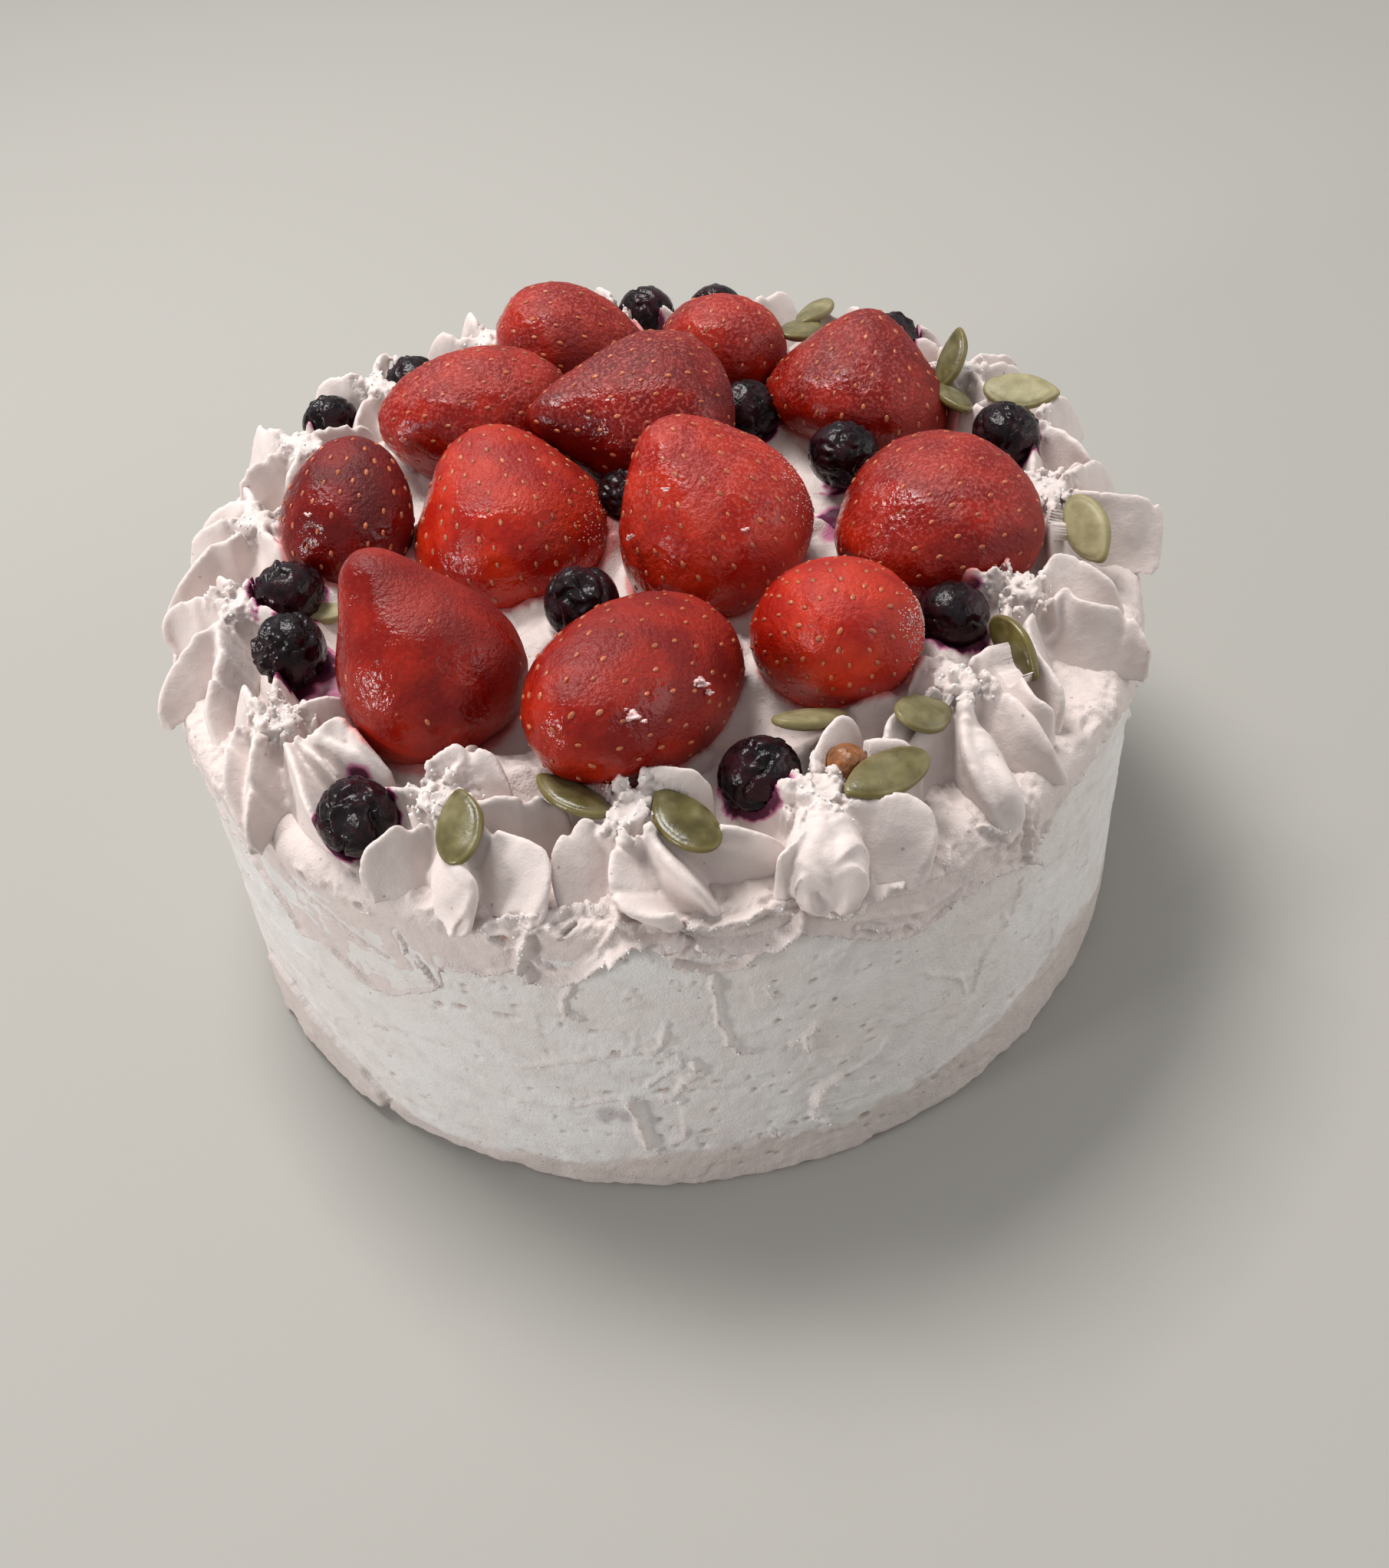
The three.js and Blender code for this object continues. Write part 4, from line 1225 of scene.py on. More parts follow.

# %% [markdown]
# The lip. As the sides and the top of the cake were smoothed one after the other, cream was pushed over the
# edge and tore off in flaps. Its lower edge follows the line in the photograph. The lip is a ring that is
# closed all round, like a tyre: its outer side stands a millimetre proud where there is cream, and dives
# into the wall where there is none, so the edge comes out crisp. Pockets with raised rims are scooped out.
# Its bead, rims and ridges are painted a little lighter as a highlight, and in front a band of the upper
# edge is painted darker as the shade of the petals above it.

# %% The torn lip
LIP_FOOT = 36.2
LIP_STEP = 0.3
LIP_EDGE = [(-180, 53), (-165, 55), (-150, 51), (-143, 50), (-137.4, 45.1), (-134.4, 40), (-129.4, 41)]
LIP_EDGE += [(-126.8, 38.6), (-124.2, 37.2), (-121.8, 37.4), (-120.1, 38), (-118.1, 40.6), (-115.8, 42)]
LIP_EDGE += [(-114.5, 44.1), (-114.2, 48.6), (-112, 49.3), (-109, 48.9), (-105.1, 51.5), (-103.5, 49.3)]
LIP_EDGE += [(-100.2, 49.9), (-98.1, 52.4), (-95.8, 55.2), (-93.6, 56.6), (-91, 56.2), (-90.1, 52.6)]
LIP_EDGE += [(-86.6, 50.6), (-83.5, 51.1), (-82, 53.1), (-79.6, 53.8), (-77.6, 55), (-74.5, 52.8)]
LIP_EDGE += [(-72.6, 51.2), (-67.7, 48.1), (-65.1, 46.5), (-63, 47.5), (-59.8, 49.1), (-56.9, 49.6)]
LIP_EDGE += [(-53.7, 48.7), (-50.6, 47), (-48.5, 46.4), (-47.6, 50.5), (-44, 54), (-36, 55.5), (-24, 53)]
LIP_EDGE += [(-10, 54.5), (6, 51), (20, 54), (37, 50.5), (55, 54), (75, 51), (96, 54.5), (118, 51), (140, 54)]
LIP_EDGE += [(160, 51), (180, 53)]
POCKETS = [
    # outline, then depth
    ([(-104, 57.6), (-102.6, 58.8), (-101, 57.6), (-98.3, 62), (-95.8, 61.5), (-95.5, 60.1), (-97.7, 55.4),
      (-99.9, 52.2), (-101.6, 51.9), (-103.2, 53), (-104.1, 55)], 0.75),
    ([(-101.8, 59.7), (-100.5, 60.8), (-98.5, 62.2), (-99.4, 59.5), (-100.5, 57.9), (-101.6, 58.7)], 0.6),
    ([(-89.4, 58), (-87.2, 58.9), (-84, 57.5), (-80.7, 59.1), (-77.8, 58), (-78.1, 56), (-80.1, 54.8),
      (-83.2, 55.2), (-86.5, 56.1), (-88.7, 56.9)], 1.2),
    ([(-89.9, 55), (-88.8, 54.8), (-85.5, 54), (-82.6, 53.2), (-83.8, 51.9), (-86.6, 51.5), (-89.2, 53),
      (-90, 53.8)], 0.8),
    ([(-75, 56.5), (-70, 54.4), (-64, 51.4), (-59, 52.4), (-53, 52.6), (-51.8, 55), (-57, 56.6), (-64, 55),
      (-70, 57)], 0.35),
    ([(-108, 57), (-106.4, 57.6), (-105, 56.6), (-106.5, 55.8)], 1.1),
    ([(-131.3, 56.2), (-130.3, 56.6), (-129.4, 55.2), (-130.6, 54.8)], 1.1),
    ([(-123.2, 56), (-122.3, 56.5), (-121.6, 55.4), (-122.6, 55.1)], 0.9),
]
LIP_RIDGES = [
    # points, half width, height
    ([(-104.5, 56.2), (-105.1, 51.9), (-103.5, 50), (-100.2, 50.6), (-98.1, 53), (-95.8, 56)], 0.75, 0.8),
    ([(-95.8, 56), (-93.6, 57.4), (-89.4, 56.8)], 0.85, 0.8),
    ([(-89.3, 58.4), (-86.5, 55.1), (-82.5, 54.3), (-79.6, 54.3), (-77.6, 56.2), (-77.2, 58.4)], 0.45, 0.8),
    ([(-112, 57), (-109, 57.9), (-106.3, 59.6), (-102.9, 60.3), (-101.4, 61.2), (-98.3, 62.2)], 0.6, 0.9),
    ([(-98.3, 62.2), (-95.8, 61.4), (-94.1, 59.6), (-90.5, 59.3), (-88.6, 59.5)], 0.6, 0.9),
    ([(-88.6, 59.5), (-86.4, 58.4), (-83.1, 59), (-79.5, 59.9), (-77.4, 59.6), (-75, 60.5)], 0.5, 0.8),
    ([(-71.7, 52.8), (-67.8, 50.7), (-64.7, 48.9), (-62.5, 49.2), (-59, 51)], 0.4, 0.45),
    ([(-75.5, 58.5), (-72.6, 56.5), (-69.3, 57.4), (-66.9, 57.8), (-62.3, 56.9), (-60.8, 59)], 0.7, 1.1),
    ([(-56.5, 59), (-54.4, 57.4), (-51.8, 58)], 0.6, 1.0),
    ([(-50.4, 56), (-50.2, 51.5), (-49.6, 47.4), (-47, 46)], 0.6, 0.9),
    ([(-117.1, 48.7), (-116.2, 47.4), (-115.9, 45.4), (-115.2, 43.6)], 0.5, 0.9),
    ([(-118.4, 53), (-117.9, 49), (-117, 46.5)], 0.35, 0.5),
    ([(-137, 56), (-132, 51.5), (-127, 49), (-121, 46)], 0.5, 0.35),
]
BARE_POCKETS = POCKETS[5:]
CURDS_FROM, CURDS_TO = math.radians(-116), math.radians(-104)
SHELF_FROM = math.radians(-125)
LIP_SUNK = 1.35
LIP_BACK = ((14.5, CAKE_TOP - 2.4), (5.0, CAKE_TOP - 3.4), (2.3, LIP_FOOT))
SHADE_FROM, SHADE_TO = -104, -74


def lip_profile(s):
    """Radius, height and outward direction at a place along the edge: up the wall, round and inwards."""
    bend = np.clip((s - (CAKE_TOP - SHOULDER)) / SHOULDER, 0, math.pi / 2)
    inward = np.clip(s - (CAKE_TOP - SHOULDER) - SHOULDER * math.pi / 2, 0, None)
    radius = CAKE_RADIUS - SHOULDER * (1 - np.cos(bend)) - inward
    z = np.minimum(s, CAKE_TOP - SHOULDER) + SHOULDER * np.sin(bend)
    return radius, z, np.cos(bend), np.sin(bend)


def lip_thickness(angle, s):
    """How far the lip stands out of the plain edge, then the masks of bare pits and of ridges and rims, which
    are painted lighter.
    """
    ring = on_wall(angle, s)
    tear = rough(ring, 1.3, 101, 3)
    over = s - along_wall(angle, LIP_EDGE) + 0.55 * rough(ring, 2.6, 103, 4) + 0.4 * tear
    there = ease(over, -0.15, 0.2)
    bead = hump(over - 0.45, 0.38) * (0.7 + 0.6 * noise(ring, 3.5, 105))
    curds = noise(ring, 8.0, 107) + 0.5 * (angle < CURDS_TO) * (angle > CURDS_FROM)
    shelf = ease(s, 57.5, 60.0) * (0.3 + 0.4 * (angle > SHELF_FROM))
    curds = ease(curds + shelf, 0.0, 0.6)
    flakes = 1 - np.abs(rough(ring, 2.6, 113, 4)) * 3.2
    skin = 0.45 + 0.22 * rough(ring, 6.0, 109, 3) + 0.10 * tear
    skin += curds * (0.35 * (0.5 - grains(ring, 1.9, 111)) + 0.35 * tear + 0.4 * flakes)
    skin += 0.85 * bead
    # Ridge light: the bead, the pocket rims and the ridges are painted lighter than the pink lip, as a
    # highlight.
    ridge_light = 0.7 * bead
    for outline, depth in POCKETS:
        d = outline_distance(angle, s, outline) + 0.28 * tear
        rim = hump(d - 0.35, 0.4)
        skin += 0.35 * rim - depth * (1 - ease(d, -0.35, 0.1))
        ridge_light = np.maximum(ridge_light, 0.6 * rim)
    for line, width, height in LIP_RIDGES:
        d = line_distance(angle + tear * 0.007, s + tear * 0.5, line)
        ridge = 1.35 * height * hump(d, 0.8 * width) * (0.75 + 0.7 * tear)
        skin += ridge - 0.35 * hump(d - 1.6 * width, width)
        ridge_light = np.maximum(ridge_light, np.clip(ridge, 0, 1))
    bare = np.zeros(skin.shape)
    for outline, _ in BARE_POCKETS:
        bare = np.maximum(bare, 1 - ease(outline_distance(angle, s, outline), -0.7, -0.2))
    return skin * there - LIP_SUNK * (1 - there), bare * 0.8, ridge_light


def lip_grid():
    """The rows of the lip up its outer side, over the edge and back along the inside, and its masks."""
    arc_end = CAKE_TOP - SHOULDER + SHOULDER * math.pi / 2
    s = np.concatenate([np.arange(LIP_FOOT, arc_end, LIP_STEP), arc_end + np.arange(0, 12.5, 0.62)])[:, None]
    angle = DIRECTIONS[None, :]
    thick, bare, ridge_light = lip_thickness(angle + 0 * s, s + 0 * angle)
    radius, z, outward, upward = lip_profile(s)
    fade = 1 - ease(s, arc_end + 7.0, arc_end + 12.0)
    thick = thick * fade - 1.2 * (1 - fade)
    outer = ring_points(radius + thick * outward - flat_side(angle), angle, z + thick * upward)
    back = [ring_points(CAKE_RADIUS - inset, DIRECTIONS, level) for inset, level in LIP_BACK]
    hidden = np.zeros((len(LIP_BACK), WALL_COLUMNS))
    masks = {"crumb": bare, "ridge_light": ridge_light}
    masks = {label: np.concatenate([rows, hidden]).ravel() for label, rows in masks.items()}
    return np.concatenate([outer, back]), masks


def tyre_mesh(name, grid):
    """A grid whose rows and columns both close round."""
    rows, columns = grid.shape[:2]
    faces = shell_faces(rows + 1, columns) % (rows * columns)
    return mesh_of(name, grid.reshape(-1, 3), faces)


def painted_shelf_shade(points):
    """Painted shade on the upper edge in front, where the petals above shade it."""
    turn = np.degrees(np.arctan2(points[:, 1], points[:, 0]))
    front = ease(turn, SHADE_FROM - 2, SHADE_FROM + 2) * (1 - ease(turn, SHADE_TO - 2, SHADE_TO + 2))
    return ease(points[:, 2], 55.5, 57.0) * front * ease(rough(points, 5.0, 69, 3), -0.5, 0.1)


lip_rows, lip_masks = lip_grid()
lip_mesh = tyre_mesh("cake_lip", lip_rows)
# Painted shade: the front of the upper edge is darkened as the shade of the petals above it.
lip_masks["foot_and_shade"] = 0.6 * painted_shelf_shade(points_of(lip_mesh))
cake_lip = finish_cream("cake_lip", lip_mesh, lip_masks)
print("lip:", len(lip_mesh.polygons), "faces")

# %% [markdown]
# The cream on top. The berries were pressed into it, so it is squeezed up where two of them nearly touch and
# stands as a soft rim along each one. Between them it is lumpy, and torn in places. A berry's share of the
# room, below one inside it, gives the distance to its side, and the two nearest berries say how narrow a
# gap is. The cream sinks away under every blueberry, the raisin and every seed, so that it never pokes
# through one, and a low bank runs along the inner side of the ring of swirls.

# %% The cream between the berries
TOP_COLUMNS = 640
TOP_ROWS = 104
TOP_REACH = 66.0
CREAM_PATCHES = [
    # x, y, half width and extra height of heaped cream, in millimetres
    (-6.5, 2.0, 4.5, 3.2),
    (27.0, 2.5, 4.0, 2.6),
    (25.5, -7.5, 3.5, 2.2),
    (-36.0, -8.0, 4.0, 2.0),
    (-17.0, -22.0, 5.0, 2.0),
    (12.0, -26.0, 4.5, 3.4),
    (28.5, -45.5, 4.5, 2.6),
    (14.5, -37.5, 3.5, 3.0),
    (-20.0, -51.0, 4.5, 2.0),
]
BANK_RADIUS, BANK_WIDTH = 55.5, 5.5
SEED_COVER = 0.4


def rolled(seed, points):
    """Points in a seed's own axes, along, across and out of its back, and the direction of its back."""
    axes = axes_of(seed[3], seed[4])
    local = (points - middle_of(seed)) @ np.array(axes).T
    roll = math.radians(seed[7])
    across = local[:, 1] * math.cos(roll) - local[:, 2] * math.sin(roll)
    out = local[:, 2] * math.cos(roll) + local[:, 1] * math.sin(roll)
    return local[:, 0], across, out, axes[2] * math.cos(roll) + axes[1] * math.sin(roll)


def clear_berries(points):
    """Cream that would show above a blueberry or a seed that lies in it sinks into that berry."""
    points = points.copy()
    for berry in BLUEBERRIES + [RAISIN]:
        middle, radius = middle_of(berry), berry[5]
        away = np.hypot(points[:, 0] - middle[0], points[:, 1] - middle[1])
        hit = (away < radius * 0.93) & (points[:, 2] > middle[2] - radius * 0.3)
        points[hit, 2] = middle[2] - radius * 0.3
    for seed in PUMPKIN_SEEDS:
        along, across, out, back = rolled(seed, points)
        inside = (along / (seed[5] / 2)) ** 2 + (across / (seed[6] / 2)) ** 2 < 0.9
        hit = inside & (out > -SEED_COVER) & (out < 4)
        points[hit] -= (out[hit] + SEED_COVER)[:, None] * back
    return points


def squeezed(spot):
    """Height of the cream squeezed up between berries."""
    level = spot + np.array([0, 0, CAKE_TOP + 3.0])
    gaps = []
    for berry in STRAWBERRIES:
        gaps.append((berry_share(level, berry) - 1) * berry[6] / 2)
    for berry in BLUEBERRIES:
        gaps.append(np.hypot(level[..., 0] - berry[0], level[..., 1] - berry[1]) - berry[5])
    gaps = np.sort(np.stack(gaps), axis=0)
    first, second = np.maximum(gaps[0], 0), np.maximum(gaps[1], 0)
    return 1.6 * hump(first, 1.5) + 3.2 * hump(first + second, 5.0)


def top_grid():
    """Rings of the lumpy top from its edge to its middle, over one point deep in the cake."""
    angle = np.linspace(-math.pi, math.pi, TOP_COLUMNS, endpoint=False)[None, :]
    radius = np.linspace(1, 0, TOP_ROWS)[:, None] * TOP_REACH + 0 * angle
    spot = ring_points(radius, angle, 0.0)
    inner = 1 - ease(radius, 48.0, 60.0)
    z = 0.6 + 0.5 * rough(spot, 7.0, 61, 4) + inner * (0.6 + 1.2 * rough(spot, 10.0, 63, 4) + squeezed(spot))
    z += hump(radius - BANK_RADIUS, BANK_WIDTH) * np.clip(3.6 + 2.2 * rough(spot, 6.0, 66, 3), 0, 6.5)
    for x, y, wide, extra in CREAM_PATCHES:
        d = np.hypot(spot[..., 0] - x, spot[..., 1] - y)
        z += extra * hump(d, wide) * (1 + 0.5 * rough(spot, 3.0, 121, 3))
    torn = ease(noise(spot, 6.0, 123), -0.2, 0.4)
    z += torn * (0.8 * (0.55 - grains(spot, 1.9, 125)) + 0.35 * rough(spot, 1.1, 127, 2))
    z -= 2.6 * ease(radius, TOP_REACH - 2.5, TOP_REACH)
    grid = np.stack([spot[..., 0], spot[..., 1], CAKE_TOP + z], -1)
    return np.concatenate([[grid[0] * np.array([0, 0, 1]) + [0, 0, -4.0]], grid])


top_mesh = shell("cake_top", top_grid())
set_points(top_mesh, clear_berries(points_of(top_mesh)))
finish_cream("cake_top", top_mesh, {})
print("top:", len(top_mesh.polygons), "faces")

# %% [markdown]
# A star tube leaves a rosette: petals with sharp crests that lean, curve and stand free at their outer
# corners. One petal is a sheet between two lines. The upper line is its crest, which runs out from the torn
# centre and then drops to the petal's tip. The lower line is its foot on the cake. The sheet gets thicker
# towards the foot, so that its flanks are hollow, and the start of the crest is ragged. For the petals in
# front, the crest was read off the photograph. A voxel remesh then melts the petals into one skin.

# %% One petal of a swirl
PETAL_ROWS = 56
PETAL_STEPS = 18
PETAL_HEIGHT = 10.4
PETAL_SUNK = 0.8
FLARE = 3.7
MELT_ROUNDS = 9


def crest_marks(petal, pick):
    """The marks of a free petal's crest: out, nearly level, then down to the tip."""
    turn, length = petal[:2]
    lean = petal[2] if len(petal) > 2 else pick.choice([-1, 1]) * pick.uniform(10, 30)
    corner = length * (petal[3] if len(petal) > 3 else pick.uniform(0.78, 0.92))
    share = petal[4] if len(petal) > 4 else pick.uniform(0.92, 1.06)
    marks = [(turn, 0.15 * length, 0.98), (turn + 0.45 * lean, 0.45 * corner, 1.0)]
    marks += [(turn + 0.85 * lean, 0.8 * corner, 0.93), (turn + lean, corner, 0.74)]
    marks += [(turn + 0.75 * lean, (corner + length) * 0.51, 0.4), (turn + 0.3 * lean, length, 0.0)]
    return crest(*[(a, d, z * share * PETAL_HEIGHT) for a, d, z in marks])


def even_line(marks, count):
    """A smooth line of evenly spaced points through some marks."""
    marks = np.array(marks, float)
    points = ring_points(marks[:, 1], np.radians(marks[:, 0]), marks[:, 2])
    steps = np.linalg.norm(np.diff(points, axis=0), axis=1)
    along = np.concatenate([[0], np.cumsum(steps)])
    at = np.linspace(0, along[-1], count)
    line = np.stack([np.interp(at, along, points[:, k]) for k in range(3)], -1)
    for _ in range(MELT_ROUNDS):
        line[1:-1] = 0.5 * line[1:-1] + 0.25 * (line[:-2] + line[2:])
    return line


def ragged_crest(petal, seed, u):
    """The crest's line, torn near the swirl's middle and nicked further out."""
    top = even_line(petal["marks"], PETAL_ROWS)
    top[:, 2] += 1.6 * rough(top + seed * 7, 2.2, seed, 4) * (1 - ease(u, 0.08, 0.5))
    top[:, 2] -= 1.1 * ease(noise(top + seed * 3, 1.8, seed + 500), 0.4, 0.7) * (1 - ease(u, 0.55, 0.8))
    return top


def unit(vectors):
    return vectors / np.maximum(np.linalg.norm(vectors, axis=-1, keepdims=True), 1e-6)


def petal_shell(petal, seed):
    """Rows of points of one petal round the swirl's middle, with its foot at height zero."""
    u = np.linspace(0, 1, PETAL_ROWS)
    top = ragged_crest(petal, seed, u)
    tip = top[-1]
    length = math.hypot(tip[0], tip[1])
    ahead = tip[:2] / length
    run = np.maximum.accumulate(np.clip(top[:, :2] @ ahead / length, 0.02, 1))
    run = 0.95 * run / run[-1] + 0.05 * u
    low = np.stack([tip[0] * run, tip[1] * run, -PETAL_SUNK + min(tip[2], 0) * run ** 4], -1)
    v = np.concatenate([np.linspace(0, 0.9, PETAL_STEPS), [0.95, 0.985, 1.0]])[None, :, None]
    rise = top - low
    sheet = low[:, None] + rise[:, None] * v
    own = unit(np.cross(np.gradient(sheet, axis=0), rise[:, None]))
    level = np.array([ahead[1], -ahead[0], 0.0])
    blend_in = ease(v, 0.2, 0.75)
    across = unit(own * blend_in + level * (1 - blend_in))
    base = np.minimum(0.9 + 0.45 * run * length, FLARE) * (1 - 0.8 * ease(run, 0.55, 1.0))
    half = petal["thick"] * (1 - 0.4 * ease(u, 0.85, 1.0))[:, None] + base[:, None] * (1 - v[..., 0]) ** 1.15
    high = np.linalg.norm(rise, axis=1)[:, None]
    half = np.minimum(half, 0.34 * high + 0.15)
    bend = np.clip(1.5 * petal["thick"] / np.maximum(high, 1.0), 0.1, 0.6)
    half = half * np.sqrt(1 - np.clip((v[..., 0] - 1 + bend) / bend, 0, 1) ** 2)
    one = sheet + across * half[..., None]
    other = sheet - across * half[..., None]
    return np.concatenate([one, other[:, -2::-1]], 1)


test_petal = petal_shell(crest_marks((0, 16, 10), np.random.default_rng(1)), 1)
print("a petal has", test_petal.shape[0] * test_petal.shape[1], "points")

# %% [markdown]
# The petals grow out of a low mound, which is what one sees in the valleys between them. On top of the mound
# the cream tore off, so it carries jagged peaks. After the remesh only the hollows are smoothed, since piped
# cream has soft valleys and crisp crests. Near the middle the points are pushed by cell noise of two sizes,
# which gives clotted grains. A mask called torn keeps that region for the material and for the crumbs.

# %% A whole swirl
VOXEL_FRONT = 0.32
VOXEL_BACK = 0.52
TORN_REACH = 5.4
VALLEY_REACH = 7.8
MOUND_TOP = 2.6
PEAKS = 20
PEAK_SPREAD = 4.4
SOFTENING = 5
SOFT_SHARE = 0.55
CREST_SHARE = 0.08


def mound(height, seed):
    """The low heap under the petals."""
    angle = np.linspace(0, 2 * math.pi, 48, endpoint=False)[None, :]
    s = np.concatenate([[0, 0], np.linspace(0, 1, 22), [1]])[:, None]
    radius = MOUND_TOP + (VALLEY_REACH - MOUND_TOP) * (1 - s) ** 1.6
    ring = np.stack([np.cos(angle), np.sin(angle), 0 * angle + seed], -1)
    radius = radius * (1 + 0.16 * noise(ring, 0.7, seed)) * np.ones_like(angle)
    radius[[0, -1]] = 0
    z = s * height * 0.93 + 0 * angle
    z[:2] = -PETAL_SUNK
    return ring_points(radius, angle, z)


def peak(x, y, radius, high, tip):
    """A small cone with a blunt tip, which leans by the given distances."""
    angle = np.linspace(0, 2 * math.pi, 9, endpoint=False)[None, :]
    rows = np.array([0.0, 1.2, 1.0, 0.75, 0.4, 0.0])[:, None] * radius
    share = np.array([0.2, 0.2, 0.5, 0.75, 0.92, 1.0])[:, None]
    px = x + rows * np.cos(angle) + tip[0] * share ** 2
    py = y + rows * np.sin(angle) + tip[1] * share ** 2
    return np.stack([px, py, np.broadcast_to(share * high, px.shape)], -1)


def swirl_shells(number, height, petals):
    """All the shells of a swirl, round its own middle."""
    pick = np.random.default_rng(100 + number)
    shells = [mound(height, number)]
    for i, petal in enumerate(petals):
        if isinstance(petal, tuple):
            petal = crest_marks(petal, pick)
        shells.append(petal_shell(petal, number * 20 + i))
    for _ in range(PEAKS):
        away, turn = PEAK_SPREAD * math.sqrt(pick.random()), pick.uniform(0, 2 * math.pi)
        tall = height * (1.12 - 0.055 * away) * pick.uniform(0.86, 1.06)
        tip = pick.uniform(-1.3, 1.3, 2)
        shells.append(peak(away * math.cos(turn), away * math.sin(turn), pick.uniform(0.5, 1.2), tall, tip))
    return shells


def fused(name, shells, voxel):
    """Several closed shells in one object, melted together by a voxel remesh."""
    parts = [shell("part", grid) for grid in shells]
    thing = add_object(name, merged(name, parts))
    for part in parts:
        bpy.data.meshes.remove(part)
    remesh = thing.modifiers.new("melt", "REMESH")
    remesh.mode = "VOXEL"
    remesh.voxel_size = voxel * MM
    baked(thing)
    return thing


def soften_hollows(mesh, keep):
    """Moves each point in a hollow towards its neighbours' middle. Crests nearly stay as they are."""
    points, normals = points_of(mesh), normals_of(mesh)
    pairs = np.empty(len(mesh.edges) * 2, np.int32)
    mesh.edges.foreach_get("vertices", pairs)
    a, b = pairs[0::2], pairs[1::2]
    count = np.bincount(pairs, minlength=len(points)).astype(float)
    for _ in range(SOFTENING):
        total = np.stack([np.bincount(a, points[b, k], len(points)) for k in range(3)], -1)
        total += np.stack([np.bincount(b, points[a, k], len(points)) for k in range(3)], -1)
        step = total / count[:, None] - points
        hollow = (step * normals).sum(1) > 0
        points += step * (np.where(hollow, SOFT_SHARE, CREST_SHARE) * (1 - keep))[:, None]
    set_points(mesh, points)


def torn_mask(points, height, number):
    """1 in the torn middle of a swirl, near its top."""
    away = np.hypot(points[:, 0], points[:, 1])
    torn = 1 - ease(away, TORN_REACH * 0.6, TORN_REACH * 1.25)
    torn = torn * ease(points[:, 2], height * 0.6, height * 0.8)
    return np.clip(torn * (1 + 0.9 * noise(points, 1.9, number)), 0, 1)


def swirl_relief(place, torn):
    """How far the skin of a swirl is pushed out: a little all over, clots and flakes where it tore."""
    clots = 0.40 * (grains(place, 1.6, 71) - 0.5) + 0.3 * (0.6 - grains(place, 0.9, 72))
    clots += 0.42 * (1 - np.abs(rough(place * np.array([1, 1, 0.6]), 1.5, 79, 4)) * 3.4)
    push = 0.16 * rough(place, 5.0, 73, 3) + 0.04 * rough(place, 1.1, 75, 2)
    return push + torn * (clots + 0.6 * rough(place, 0.8, 77, 2))


def make_swirl(number):
    """One swirl in its place, with its masks and its cream."""
    at, out, height, petals = SWIRLS[number]
    name = "swirl_%02d" % (number + 1)
    middle = ring_points(out, math.radians(at), CAKE_TOP)
    voxel = VOXEL_BACK if 0 < at < 180 else VOXEL_FRONT
    thing = fused(name + "_cream", swirl_shells(number, height, petals), voxel)
    mesh = thing.data
    torn = torn_mask(points_of(mesh), height, number)
    soften_hollows(mesh, torn)
    place = points_of(mesh) + middle
    place = clear_berries(place + normals_of(mesh) * swirl_relief(place, torn)[:, None])
    set_points(mesh, place)
    blue, red = juice_masks(place)
    set_masks(mesh, {"torn": torn, "loose": torn, "crumb": 0 * torn, "blue_juice_and_shade": blue, "red_juice": red})
    mesh.materials.clear()
    mesh.materials.append(PIPED_CREAM)
    smooth(mesh)
    finish_piece(thing, "piped_cream", name)
    return thing


swirls = [make_swirl(i) for i in range(len(SWIRLS))]
print("swirls:", face_count(swirls), "faces")

# %% [markdown]
# Torn cream sheds crumbs. They are tiny uneven grains, hundreds to a swirl, so a Geometry Nodes tree scatters
# them: points on the faces where the mask called loose is high, a small ball on each one with its own size
# and turn, then Realize Instances, so that the grains are real mesh, and Set Material. The same tree puts
# crumbs along the torn edges of the wall and the lip, and later ice on the strawberries.

# %% Crumbs by Geometry Nodes
FULL_TURN = (6.28, 6.28, 6.28)
EDGE_CRUMBS = {"Density": 3.0e6, "Grain": 0.00022}
SWIRL_CRUMBS = {"Density": 3.2e5, "Grain": 0.0003}


def geometry_group(name, inputs):
    mesh_in = ("Geometry", "Geometry", None)
    return new_group("GeometryNodeTree", name, [mesh_in] + inputs, [("Geometry", "Geometry")])


def random_scale(tree, low, high, seed):
    """One random number for each instance."""
    inputs = {2: low, 3: high, "Seed": seed}
    return new_node(tree, "FunctionNodeRandomValue", inputs, data_type="FLOAT").outputs[1]


def random_vector(tree, low, high, seed):
    """Three random numbers for each instance."""
    inputs = {0: low, 1: high, "Seed": seed}
    return new_node(tree, "FunctionNodeRandomValue", inputs, data_type="FLOAT_VECTOR").outputs[0]


def painted(tree, geometry, material):
    inputs = {"Geometry": geometry, "Material": material}
    return new_node(tree, "GeometryNodeSetMaterial", inputs).outputs["Geometry"]


def realized(tree, instances):
    """Real mesh in place of instances, because the export drops those."""
    return new_node(tree, "GeometryNodeRealizeInstances", {"Geometry": instances}).outputs["Geometry"]


